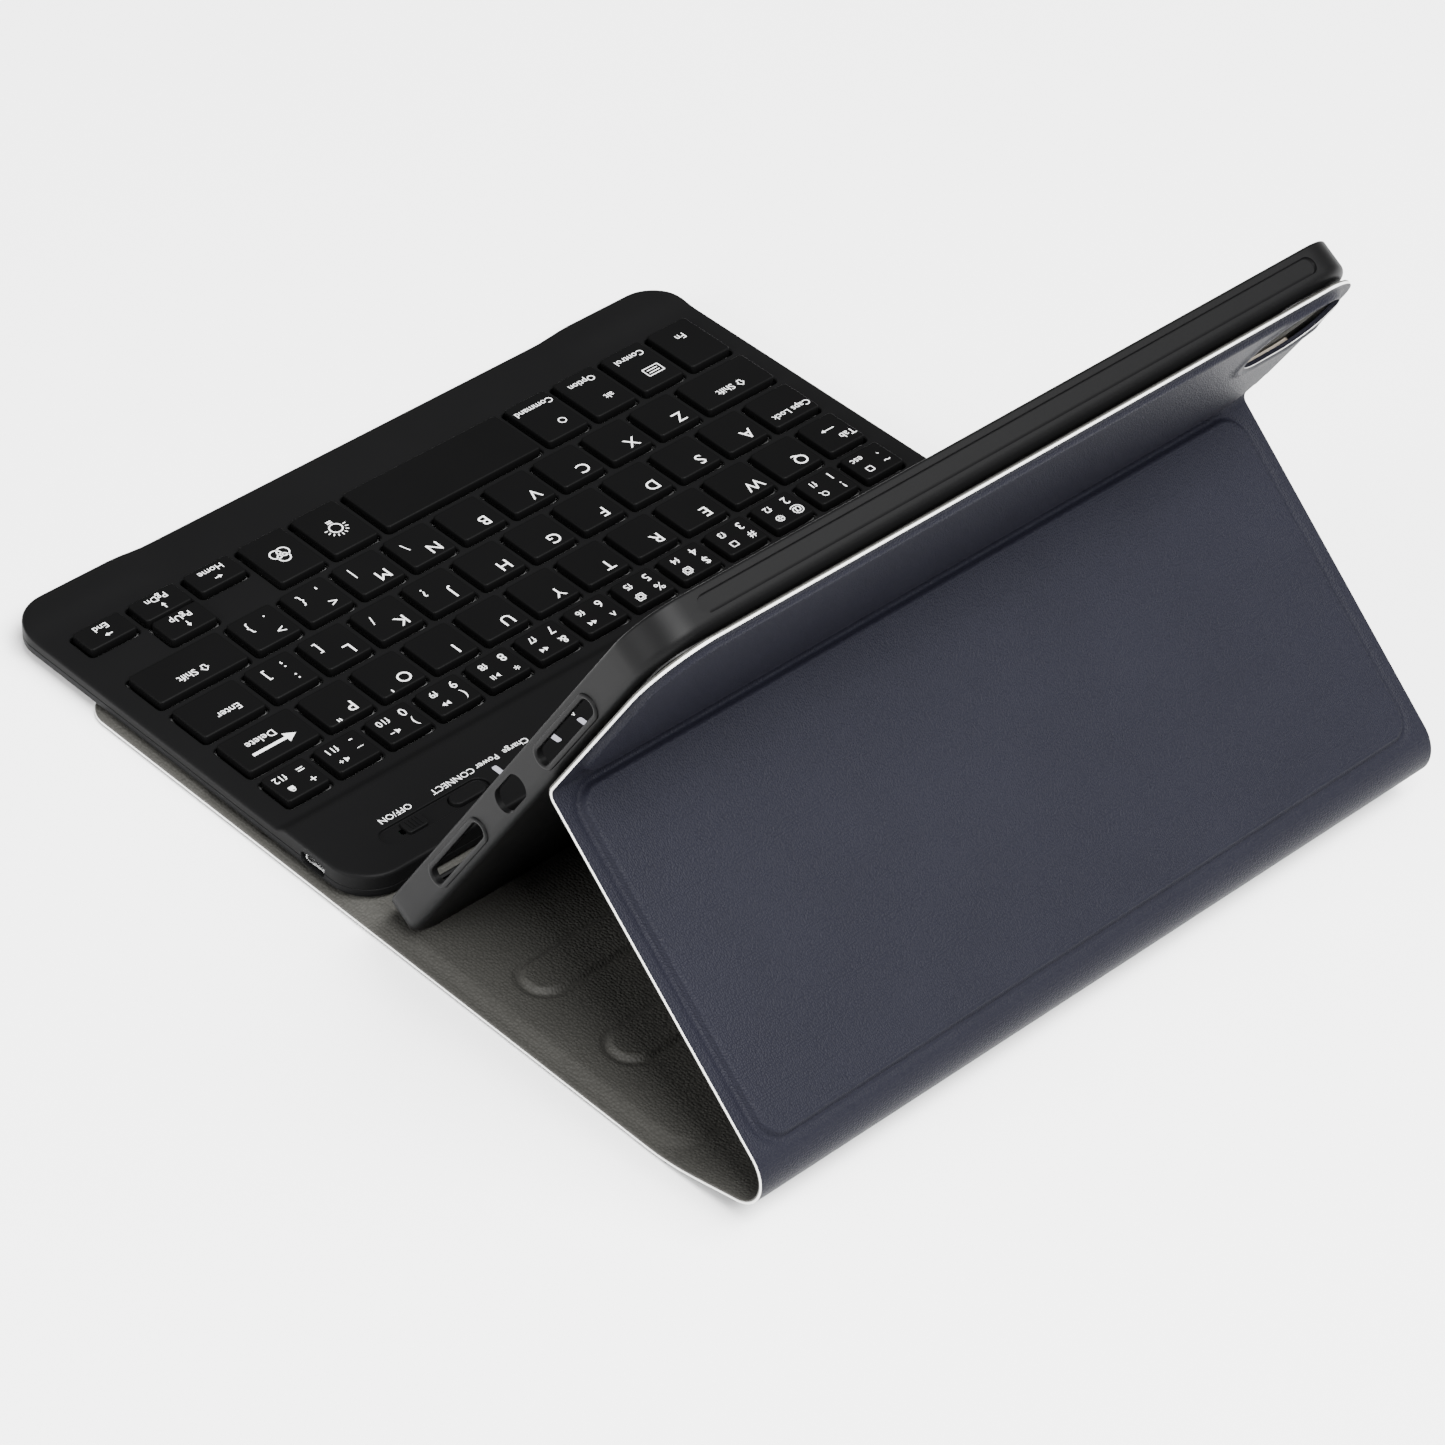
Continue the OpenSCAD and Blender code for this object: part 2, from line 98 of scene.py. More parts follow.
BASE_FOLD = joint_point("base_fold")
SPINE_FOLD = joint_point("spine_fold")
CREASE = joint_point("stand_crease")
LOWER_DIR = unit(CREASE - SPINE_FOLD)
UPPER_DIR = turned(LOWER_DIR, -joint_turn("stand_crease"))
UPPER_INNER = -outward(UPPER_DIR)
LOWER_LEN = float(np.linalg.norm(CREASE - SPINE_FOLD))
SKIN_LOW, SKIN_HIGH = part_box("base_outer_skin")
COVER_HALF = SKIN_HIGH.x
UPPER_VERTICES = frame["nodes"]["upper_back_lining"].data.vertices
UPPER_LEN = float(max((np.array([v.co.y, v.co.z]) - CREASE) @ UPPER_DIR for v in UPPER_VERTICES))
CASE_LOW, CASE_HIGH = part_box("keyboard_bottom_case")
KB_W = CASE_HIGH.x - CASE_LOW.x
KB_D = CASE_HIGH.y - CASE_LOW.y
KB_MID = Vector((
    (CASE_LOW.x + CASE_HIGH.x) / 2,
    (CASE_LOW.y + CASE_HIGH.y) / 2,
    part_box("keyboard_feet")[0].z,
))


# ---------------------------------------------------------------- settings

def length(name, description, millimetres):
    return bpy.props.FloatProperty(
        name=name, description=description, default=millimetres * MM, unit="LENGTH"
    )


def tint(name, description, value):
    return bpy.props.FloatVectorProperty(
        name=name, description=description, default=value, subtype="COLOR"
    )


def angle(name, description, degrees):
    return bpy.props.FloatProperty(
        name=name, description=description, default=math.radians(degrees), subtype="ANGLE"
    )


class CoverSettings(bpy.types.PropertyGroup):
    skin: length("Leather thickness", "Thickness of the skin and of the lining", 0.6)
    board: length("Board thickness", "Thickness of the stiffening boards", 1.4)
    crown: length("Plate height", "Height of a plate over its board, behind the base", 0.75)
    plate_inset: length("Plate inset", "Distance from the side edge to a board", 9.3)
    upper_inset: length("Upper inset", "Distance from the side edge to the upper board", 4.8)
    groove: length("Groove depth", "Depth of the pressed line round a board", 0.42)
    stop: length("Stop height", "Height of the two raised stops on the base", 0.95)
    nose: length("Nose radius", "Radius of the rounded spine", 10.2)
    crease: length("Crease radius", "Radius of the fold under the upper back", 3.4)
    front_radius: length("Front corner", "Corner radius at the front of the base", 10)
    top_radius: length("Top corner", "Corner radius at the top of the upper back", 20)
    rim_raise: length("Opening rim", "Height of the rim round the camera opening", 0.55)
    leather: tint("Leather", "Colour of the outer leather", (0.0055, 0.0056, 0.0088))
    lining: tint("Lining", "Colour of the lining", (0.031, 0.0303, 0.0275))
    edge: tint("Painted edge", "Colour of the painted cut edge", (0.62, 0.62, 0.60))


class TraySettings(bpy.types.PropertyGroup):
    wall: length("Wall", "Thickness of the side wall", 1.7)
    back: length("Back", "Thickness of the back", 1.8)
    lip: length("Lip", "Reach of the lip over the pocket", 2)
    corner: length("Corner", "Corner radius seen from the front", 14)
    edge: length("Back edge", "Rounding between back and side", 3)
    slot_length: length("Slot length", "Length of a sound slot", 34)
    slot_width: length("Slot width", "Width of a sound slot", 4.6)
    slot_reach: length("Slot place", "Distance of a sound slot from the middle", 38)
    plastic: tint("Plastic", "Colour of the soft plastic", (0.0027, 0.0027, 0.0028))


class KeyboardSettings(bpy.types.PropertyGroup):
    corner: length("Corner", "Corner radius of the keyboard", 13)
    wall: length("Wall", "Thickness of the case wall", 1.6)
    deck_wall: length("Deck wall", "Thickness of the deck", 1.2)
    well: length("Well margin", "Gap between a key and its well", 0.75)
    key_gap: length("Key gap", "Gap between two keys of a row", 3.34)
    key_radius: length("Key corner", "Corner radius of a key", 1.3)
    case: tint("Case", "Colour of the case", (0.0031, 0.0031, 0.0032))
    key: tint("Key", "Colour of the keys", (0.0020, 0.0020, 0.00205))
    legend: tint("Legend", "Colour of the key legends", (0.55, 0.55, 0.55))


class StageSettings(bpy.types.PropertyGroup):
    azimuth: angle("Azimuth", "Turn of the camera round the object", 134.84)
    elevation: angle("Elevation", "Height angle of the camera", 39.87)
    roll: angle("Roll", "Tilt of the camera about its view", 2.73)
    lens: bpy.props.FloatProperty(
        name="Lens", description="Focal length in millimetres for a 36 mm sensor", default=131.3
    )
    place: bpy.props.FloatVectorProperty(
        name="Camera place", description="Place of the camera, counted from the tray's foot line",
        default=(0.7943, 0.7807, 0.9402), subtype="TRANSLATION"
    )


def settings(group):
    return getattr(bpy.context.scene, "case_" + group)


# ---------------------------------------------------------------- shader groups and materials

def new_group(name, inputs, outputs):
    """Empty shader node group with named float inputs and outputs."""
    tree = bpy.data.node_groups.new(name, "ShaderNodeTree")
    for label, default in inputs:
        socket = tree.interface.new_socket(label, in_out="INPUT", socket_type="NodeSocketFloat")
        socket.default_value = default
    for label in outputs:
        tree.interface.new_socket(label, in_out="OUTPUT", socket_type="NodeSocketFloat")
    return tree, tree.nodes.new("NodeGroupInput"), tree.nodes.new("NodeGroupOutput")


def add(tree, kind, **values):
    node = tree.nodes.new(kind)
    for key, value in values.items():
        if hasattr(node, key):
            setattr(node, key, value)
        else:
            node.inputs[key.replace("_", " ")].default_value = value
    return node


def maths(tree, operation, a, b):
    node = tree.nodes.new("ShaderNodeMath")
    node.operation = operation
    for socket, value in zip(node.inputs, (a, b)):
        if hasattr(value, "links"):
            tree.links.new(value, socket)
        else:
            socket.default_value = value
    return node.outputs[0]


def leather_grain():
    """Pebbles of the pressed grain with finer pores between them."""
    if "Leather grain" in bpy.data.node_groups:
        return bpy.data.node_groups["Leather grain"]
    tree, inputs, outputs = new_group(
        "Leather grain", (("Cells per metre", 1400.0), ("Irregularity", 0.6)), ("Height", "Tone")
    )
    coords = add(tree, "ShaderNodeTexCoord")
    warp = add(tree, "ShaderNodeTexNoise", Scale=600.0, Detail=2.0)
    tree.links.new(coords.outputs["Object"], warp.inputs["Vector"])
    mixed = add(tree, "ShaderNodeVectorMath", operation="MULTIPLY_ADD")
    mixed.inputs[1].default_value = (0.0004, 0.0004, 0.0004)
    tree.links.new(warp.outputs["Color"], mixed.inputs[0])
    tree.links.new(coords.outputs["Object"], mixed.inputs[2])
    cells = add(tree, "ShaderNodeTexVoronoi", feature="SMOOTH_F1")
    cells.inputs["Smoothness"].default_value = 0.35
    tree.links.new(mixed.outputs[0], cells.inputs["Vector"])
    tree.links.new(inputs.outputs[0], cells.inputs["Scale"])
    tree.links.new(inputs.outputs[1], cells.inputs["Randomness"])
    pores = add(tree, "ShaderNodeTexNoise", Scale=2600.0, Detail=3.0)
    tree.links.new(coords.outputs["Object"], pores.inputs["Vector"])
    dome = maths(tree, "SUBTRACT", 1.0, cells.outputs["Distance"])
    fine = maths(tree, "MULTIPLY", pores.outputs["Fac"], 0.35)
    tree.links.new(maths(tree, "ADD", dome, fine), outputs.inputs[0])
    broad = add(tree, "ShaderNodeTexNoise", Scale=38.0, Detail=4.0)
    tree.links.new(coords.outputs["Object"], broad.inputs["Vector"])
    tree.links.new(maths(tree, "ADD", maths(tree, "MULTIPLY", broad.outputs["Fac"], 0.4),
                         maths(tree, "MULTIPLY", dome, 0.6)), outputs.inputs[1])
    return tree


def moulded_grain():
    """Fine spark texture of moulded plastic with faint handling marks."""
    if "Moulded grain" in bpy.data.node_groups:
        return bpy.data.node_groups["Moulded grain"]
    tree, inputs, outputs = new_group("Moulded grain", (("Grains per metre", 5000.0),), ("Height", "Tone"))
    coords = add(tree, "ShaderNodeTexCoord")
    grain = add(tree, "ShaderNodeTexNoise", Detail=2.0, Roughness=0.6)
    marks = add(tree, "ShaderNodeTexNoise", Scale=24.0, Detail=5.0, Roughness=0.6)
    for node in (grain, marks):
        tree.links.new(coords.outputs["Object"], node.inputs["Vector"])
    tree.links.new(inputs.outputs[0], grain.inputs["Scale"])
    tree.links.new(grain.outputs["Fac"], outputs.inputs[0])
    tree.links.new(marks.outputs["Fac"], outputs.inputs[1])
    return tree


def surface(name, colour, roughness, group=None, group_value=None, bump=0.3, bump_height=0.1 * MM,
            tone=0.25, tone_rough=0.08, metallic=0.0, sheen=0.0, coat=0.0, specular=0.5):
    """Principled material whose colour, roughness and normal vary with a grain group."""
    name += "_finish"
    if name in bpy.data.materials:
        return bpy.data.materials[name]
    material = bpy.data.materials.new(name)
    material.use_nodes = True
    tree = material.node_tree
    shader = tree.nodes["Principled BSDF"]
    shader.inputs["Metallic"].default_value = metallic
    shader.inputs["Sheen Weight"].default_value = sheen
    shader.inputs["Coat Weight"].default_value = coat
    shader.inputs["Specular IOR Level"].default_value = specular
    grain = tree.nodes.new("ShaderNodeGroup")
    grain.node_tree = group or moulded_grain()
    if group_value is not None:
        grain.inputs[0].default_value = group_value
    shade = add(tree, "ShaderNodeMix", data_type="RGBA")
    shade.inputs[6].default_value = (*[c * (1 - tone) for c in colour], 1)
    shade.inputs[7].default_value = (*[min(1, c * (1 + tone)) for c in colour], 1)
    tree.links.new(grain.outputs["Tone"], shade.inputs[0])
    tree.links.new(shade.outputs[2], shader.inputs["Base Color"])
    rough = add(tree, "ShaderNodeMapRange")
    rough.inputs["To Min"].default_value = max(0.02, roughness - tone_rough)
    rough.inputs["To Max"].default_value = min(1, roughness + tone_rough)
    tree.links.new(grain.outputs["Tone"], rough.inputs["Value"])
    tree.links.new(rough.outputs["Result"], shader.inputs["Roughness"])
    relief = add(tree, "ShaderNodeBump", Strength=bump, Distance=bump_height)
    tree.links.new(grain.outputs["Height"], relief.inputs["Height"])
    tree.links.new(relief.outputs["Normal"], shader.inputs["Normal"])
    material.diffuse_color = (*colour, 1)
    return material


def outer_leather():
    return surface("navy_leather", settings("cover").leather, 0.50, leather_grain(), 1700.0,
                   bump=0.9, bump_height=0.22 * MM, tone=0.30, tone_rough=0.05, specular=0.05)


def lining_leather():
    return surface("lining_leather", settings("cover").lining, 0.55, leather_grain(), 1050.0,
                   bump=0.7, bump_height=0.3 * MM, tone=0.30, tone_rough=0.08, specular=0.15)


def painted_edge():
    return surface("painted_edge", settings("cover").edge, 0.5, bump=0.2, bump_height=0.05 * MM, tone=0.03)


def greyboard():
    return surface("greyboard", (0.36, 0.31, 0.25), 0.85, bump=0.4, bump_height=0.1 * MM, tone=0.12)


def tray_plastic():
    return surface("tray_plastic", settings("tray").plastic, 0.46, group_value=4200.0,
                   bump=0.12, bump_height=0.05 * MM, tone=0.08, specular=0.05)


def case_plastic():
    return surface("case_plastic", settings("keyboard").case, 0.46, group_value=5200.0,
                   bump=0.14, bump_height=0.05 * MM, tone=0.10, specular=0.03)


def key_plastic():
    return surface("key_plastic", settings("keyboard").key, 0.48, group_value=5600.0,
                   bump=0.14, bump_height=0.05 * MM, tone=0.10, specular=0.03)


def legend_paint():
    return surface("legend_paint", settings("keyboard").legend, 0.5,
                   bump=0.1, bump_height=0.02 * MM, tone=0.03)


# ---------------------------------------------------------------- mesh helpers

def link_object(name, data):
    obj = bpy.data.objects.new(name, data)
    bpy.context.scene.collection.objects.link(obj)
    return obj


def make_mesh(name, vertices, faces, materials):
    mesh = bpy.data.meshes.new(name)
    mesh.from_pydata(vertices, [], faces)
    for material in materials:
        mesh.materials.append(material)
    return mesh


def make_sheet(name, vertices, faces, materials, face_slots, smooth):
    mesh = make_mesh(name, vertices, faces, materials)
    mesh.polygons.foreach_set("material_index", face_slots)
    mesh.validate()
    obj = link_object(name, mesh)
    face_out(obj)
    finish_shading(obj, smooth)
    return obj


def face_out(obj):
    """Points all faces outwards, judged by the closed mesh's signed volume."""
    bm = bmesh.new()
    bm.from_mesh(obj.data)
    bmesh.ops.remove_doubles(bm, verts=bm.verts, dist=1e-7)
    bmesh.ops.recalc_face_normals(bm, faces=bm.faces)
    if bm.calc_volume(signed=True) < 0:
        bmesh.ops.reverse_faces(bm, faces=bm.faces)
    bm.to_mesh(obj.data)
    bm.free()


def finish_shading(obj, angle):
    obj.data.shade_smooth()
    obj.data.set_sharp_from_angle(angle=math.radians(angle))


def place(obj, matrix):
    obj.data.transform(matrix)
    return obj


def attach(obj, body, slot, *nodes):
    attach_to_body(obj, body)
    if nodes:
        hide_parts(*nodes)
    return obj


def cut(obj, cutters, smooth=35):
    """Takes the joined cutters out of obj with an exact boolean, and removes them."""
    cutter = join("cutter", cutters) if len(cutters) > 1 else cutters[0]
    modifier = obj.modifiers.new("cut", "BOOLEAN")
    modifier.operation = "DIFFERENCE"
    modifier.solver = "EXACT"
    modifier.use_self = True
    modifier.object = cutter
    apply_modifiers(obj)
    bpy.data.objects.remove(cutter)
    finish_shading(obj, smooth)
    return obj


def apply_modifiers(obj):
    bpy.context.view_layer.update()
    graph = bpy.context.evaluated_depsgraph_get()
    mesh = bpy.data.meshes.new_from_object(obj.evaluated_get(graph), depsgraph=graph)
    obj.modifiers.clear()
    obj.data = mesh


def join(name, objects):
    """Joins mesh objects by copying their meshes into one."""
    bm = bmesh.new()
    materials = []
    for obj in objects:
        for material in obj.data.materials:
            if material not in materials:
                materials.append(material)
    for obj in objects:
        start = len(bm.faces)
        bm.from_mesh(obj.data)
        bm.faces.ensure_lookup_table()
        for face in bm.faces[start:]:
            if obj.data.materials:
                face.material_index = materials.index(obj.data.materials[face.material_index])
    mesh = bpy.data.meshes.new(name)
    bm.to_mesh(mesh)
    bm.free()
    for material in materials:
        mesh.materials.append(material)
    for obj in objects:
        bpy.data.objects.remove(obj)
    return link_object(name, mesh)


def smooth_step(value, low, high):
    t = np.clip((value - low) / (high - low), 0, 1)
    return t * t * (3 - 2 * t)


def box_distance(x, y, cx, cy, hx, hy, r):
    """Signed distance to a rounded rectangle, negative inside."""
    qx = np.abs(x - cx) - hx + r
    qy = np.abs(y - cy) - hy + r
    return np.hypot(np.maximum(qx, 0), np.maximum(qy, 0)) + np.minimum(np.maximum(qx, qy), 0) - r


def spaced(marks, fine=0.7 * MM, coarse=6 * MM, reach=3 * MM):
    """Grid lines from the first mark to the last, close together near every mark."""
    marks = sorted(marks)
    lines = [marks[0]]
    while lines[-1] < marks[-1] - 1e-9:
        here = lines[-1]
        gap = min(abs(here + fine - m) for m in marks)
        step = fine if gap <= reach else min(coarse, max(fine, (gap - reach) * 0.7 + fine))
        lines.append(min(here + step, marks[-1]))
    if len(lines) > 2 and lines[-1] - lines[-2] < 0.4 * fine:
        lines.pop(-2)
    return np.array(lines)


def rounded_ring(w, d, r, inset, xs, ys, arc):
    """Points round a rectangle with corner radius r, moved in by inset, on shared lines xs and ys."""
    radius = max(r - inset, 0)
    cx, cy = w / 2 - r, d / 2 - r
    points = [(x, -(cy + r - inset)) for x in xs]
    corner = [math.pi / 2 * k / arc for k in range(1, arc)]
    points += [(cx + radius * math.sin(a), -cy - radius * math.cos(a)) for a in corner]
    points += [(cx + r - inset, y) for y in ys]
    points += [(cx + radius * math.cos(a), cy + radius * math.sin(a)) for a in corner]
    points += [(x, cy + r - inset) for x in reversed(xs)]
    points += [(-cx - radius * math.sin(a), cy + radius * math.cos(a)) for a in corner]
    points += [(-cx - r + inset, y) for y in reversed(ys)]
    points += [(-cx - radius * math.cos(a), -cy - radius * math.sin(a)) for a in corner]
    return points


def rounded_body(name, w, d, r, rings, materials, nx=4, ny=4, arc=6, xs=None, ys=None, smooth=40):
    """Closed body lofted through rings of (inset, height or height function), with gridded ends."""
    xs = list(np.linspace(-(w / 2 - r), w / 2 - r, nx + 1)) if xs is None else list(xs)
    ys = list(np.linspace(-(d / 2 - r), d / 2 - r, ny + 1)) if ys is None else list(ys)
    vertices, faces, loops = [], [], []

    def height(z, x, y):
        return z(x, y) if callable(z) else z

    for inset, z in rings:
        ring = rounded_ring(w, d, r, inset, xs, ys, arc)
        loops.append(range(len(vertices), len(vertices) + len(ring)))
        vertices += [(x, y, height(z, x, y)) for x, y in ring]
    for a, b in zip(loops, loops[1:]):
        n = len(a)
        faces += [(a[i], a[(i + 1) % n], b[(i + 1) % n], b[i]) for i in range(n)]
    for loop, (inset, z) in ((loops[0], rings[0]), (loops[-1], rings[-1])):
        core = [rounded_ring(w, d, r, min(r, inset + (r - inset) * k / 3), xs, ys, arc) for k in (1, 2, 3)]
        previous = loop
        for ring in core:
            here = range(len(vertices), len(vertices) + len(ring))
            vertices += [(x, y, height(z, x, y)) for x, y in ring]
            n = len(ring)
            faces += [(previous[i], previous[(i + 1) % n], here[(i + 1) % n], here[i]) for i in range(n)]
            previous = here
        start = len(vertices)
        vertices += [(x, y, height(z, x, y)) for y in ys for x in xs]
        m = len(xs)
        corners = [start + j * m + i for j in range(len(ys) - 1) for i in range(m - 1)]
        faces += [(c, c + 1, c + m + 1, c + m) for c in corners]
    return make_body(name, vertices, faces, materials, smooth)


def make_body(name, vertices, faces, materials, smooth):
    """Closed mesh object whose doubled points and empty faces are merged first."""
    mesh = make_mesh(name, vertices, faces, materials)
    bm = bmesh.new()
    bm.from_mesh(mesh)
    bmesh.ops.remove_doubles(bm, verts=bm.verts, dist=1e-7)
    bmesh.ops.dissolve_degenerate(bm, edges=bm.edges, dist=1e-8)
    bm.to_mesh(mesh)
    bm.free()
    obj = link_object(name, mesh)
    face_out(obj)
    if smooth:
        finish_shading(obj, smooth)
    return obj


def prism(name, w, d, r, low, high, material, arc=4):
    """Upright body of one outline; its measures are in millimetres."""
    rings = [(0, low * MM), (0, high * MM)]
    return rounded_body(name, w * MM, d * MM, r * MM, rings, [material], arc=arc)


def moved(obj, x, y, z=0.0):
    return place(obj, Matrix.Translation((x, y, z)))


def quarter(inset0, z0, inset1, z1, count, first="out"):
    """Ring list along a quarter round between two (inset, height) points."""
    rings = []
    for k in range(count + 1):
        a = math.pi / 2 * k / count
        u, v = (math.sin(a), 1 - math.cos(a)) if first == "out" else (1 - math.cos(a), math.sin(a))
        rings.append((inset0 + (inset1 - inset0) * u, z0 + (z1 - z0) * v))
    return rings


# ---------------------------------------------------------------- cover

class CoverPath:
    """Middle line of the cover across its folds, from the base's front edge to the upper back's top."""

    def __init__(self):
        cover = settings("cover")
        nose, bend = cover.nose, cover.crease
        middle_z = cover.skin + cover.board / 2
        front = np.array([SKIN_LOW.y, middle_z])
        lift = np.array([BASE_FOLD[0] - 30 * MM, middle_z])
        touch = SPINE_FOLD + 3 * MM * LOWER_DIR
        centre = touch - nose * outward(LOWER_DIR)
        low_angle = math.radians(-78)
        high_angle = math.atan2(outward(LOWER_DIR)[1], outward(LOWER_DIR)[0])
        turn = joint_turn("stand_crease")
        reach = bend * math.tan(turn / 2)
        valley = CREASE - reach * LOWER_DIR + bend * outward(LOWER_DIR)
        start = centre + nose * np.array([math.cos(low_angle), math.sin(low_angle)])
        slope = np.array([math.cos(low_angle + math.pi / 2), math.sin(low_angle + math.pi / 2)])
        pieces = [
            self.line(front, lift),
            self.ease(lift, np.array([1.0, 0.0]), start, slope),
            self.arc(centre, nose, low_angle, high_angle),
            self.line(touch, CREASE - reach * LOWER_DIR),
            self.arc(valley, bend, high_angle + math.pi, high_angle + math.pi - turn),
            self.line(CREASE + reach * UPPER_DIR, CREASE + UPPER_LEN * UPPER_DIR),
        ]
        points, ends = [pieces[0][0]], []
        for piece in pieces:
            points += list(piece[1:])
            ends.append(len(points) - 1)
        self.points = np.array(points)
        steps = np.linalg.norm(np.diff(self.points, axis=0), axis=1)
        self.s = np.concatenate([[0], np.cumsum(steps)])
        tangent = np.gradient(self.points, self.s, axis=0)
        tangent /= np.linalg.norm(tangent, axis=1)[:, None]
        self.inner = np.stack([-tangent[:, 1], tangent[:, 0]], axis=1)
        self.total = self.s[-1]
        nose_start, nose_end, lower_end, bend_end = [self.s[e] for e in ends[1:5]]
        self.fold_a = np.interp(BASE_FOLD[0] - 18 * MM, self.points[:ends[1], 0], self.s[:ends[1]])
        self.spine = nose_start + (nose_end - nose_start) * 0.5
        self.fold_b = nose_end + 5 * MM
        self.lower_zero = nose_end - 3 * MM
        self.crease_a = lower_end - 3 * MM
        self.crease_b = bend_end + 3 * MM
        self.upper_zero = bend_end - reach

    @staticmethod
    def line(a, b):
        n = max(2, int(np.linalg.norm(b - a) / (0.5 * MM)))
        return [a + (b - a) * k / n for k in range(n + 1)]

    @staticmethod
    def arc(centre, radius, a0, a1):
        n = max(8, int(abs(a1 - a0) * radius / (0.15 * MM)))
        angles = np.linspace(a0, a1, n + 1)
        return [centre + radius * np.array([math.cos(a), math.sin(a)]) for a in angles]

    @staticmethod
    def ease(a, da, b, db):
        length = np.linalg.norm(b - a)
        out = []
        for t in np.linspace(0, 1, 90):
            h = (2 * t**3 - 3 * t**2 + 1, t**3 - 2 * t**2 + t, -2 * t**3 + 3 * t**2, t**3 - t**2)
            out.append(h[0] * a + h[1] * length * da + h[2] * b + h[3] * length * db)
        return out

    def at(self, s):
        y = np.interp(s, self.s, self.points[:, 0])
        z = np.interp(s, self.s, self.points[:, 1])
        ny = np.interp(s, self.s, self.inner[:, 0])
        nz = np.interp(s, self.s, self.inner[:, 1])
        norm = np.hypot(ny, nz)
        return y, z, ny / norm, nz / norm

    def point(self, s):
        y, z, _, _ = self.at(s)
        return (0.0, float(y), float(z))


def board_places(path):
    """Boards in the cover as (middle along the cover, half width, half length, corner radius)."""
    cover = settings("cover")
    ease = 0.15 * MM
    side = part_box("lower_back_board")[1].x + ease
    places = []
    for node in ("base_board", "wrap_board", "flap_board"):
        low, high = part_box(node)
        middle = (low.y + high.y) / 2 - SKIN_LOW.y
        places.append((middle, high.x + ease, (high.y - low.y) / 2 + ease, 4 * MM))
    low, high = path.lower_zero + 4.7 * MM, path.lower_zero + LOWER_LEN - 4.2 * MM
    places.append(((low + high) / 2, side, (high - low) / 2, 6 * MM))
    low, high = path.upper_zero + 4.2 * MM, path.upper_zero + UPPER_LEN - 4.8 * MM
    places.append(((low + high) / 2, COVER_HALF - cover.upper_inset, (high - low) / 2, 15 * MM))
    return places


class CoverHeights:
    """Heights of the cover over its middle line, as functions of x and the distance s along it."""

    def __init__(self, path):
        self.path = path
        self.boards = board_places(path)
        self.stops = []
        low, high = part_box("stop_strips")
        half_strip = 5.5 * MM
        for y in (low.y + half_strip, high.y - half_strip):
            self.stops.append((y - SKIN_LOW.y, high.x, half_strip))
        self.opening = camera_place(path)

    def board_distance(self, x, s):
        distances = [box_distance(x, s, 0, m, hx, hs, r) for m, hx, hs, r in self.boards]
        return np.minimum.reduce(distances)

    def swell(self, x, s):
        """1 over a board, 0 beyond its edge."""
        return 1 - smooth_step(self.board_distance(x, s), 0, 1.5 * MM)

    def soft_swell(self, x, s):
        """As swell, with the slow slope that the lining takes."""
        return 1 - smooth_step(self.board_distance(x, s), -0.6 * MM, 4.5 * MM)

    def groove(self, x, s):
        distance = self.board_distance(x, s)
        return settings("cover").groove * np.exp(-((distance - 2.1 * MM) / (1.0 * MM)) ** 2)

    def outer(self, x, s):
        cover = settings("cover")
        cx, cs, hx, hs, r = self.opening
        rim = box_distance(x, s, cx, cs, hx, hs, r)
        raised = cover.rim_raise * np.exp(-((rim - 2.2 * MM) / (1.5 * MM)) ** 2)
        crown = np.where(s > self.path.fold_a, cover.crown, 0.0)
        return -cover.skin - (cover.board / 2 + crown) * self.swell(x, s) + self.groove(x, s) - raised

    def between_out(self, x, s):
        return -settings("cover").board / 2 * self.swell(x, s)

    def between_in(self, x, s):
        return settings("cover").board / 2 * self.swell(x, s)

    def inner(self, x, s):
        cover = settings("cover")
        bump = 0
        for m, hx, hs in self.stops:
            distance = box_distance(x, s, 0, m, hx, hs, hs)
            bump = bump + cover.stop * (1 - smooth_step(distance, 0, 1.5 * MM))
            bump = bump - 0.42 * MM * np.exp(-((distance - 2.1 * MM) / (0.9 * MM)) ** 2)
        return cover.skin + (cover.board / 2 + 0.2 * MM) * self.soft_swell(x, s) + bump


OPENING_X = -107 * MM
OPENING_HALF = 15 * MM


def camera_place(path):
    """Camera opening in the upper back: middle x, middle s, half sizes and corner radius."""
    return (OPENING_X, path.upper_zero + 55 * MM, OPENING_HALF, 13 * MM, 11 * MM)


def half_width(path, s, trim):
    """Half width of the cover at s, with rounded front and top corners."""
    cover = settings("cover")
    half = COVER_HALF - trim
    for radius, depth in ((cover.front_radius, s - trim), (cover.top_radius, path.total - trim - s)):
        r = radius - trim
        gap = np.clip(r - depth, 0, r)
        half = half - (r - math.sqrt(max(r * r - gap * gap, 0)))
    return half


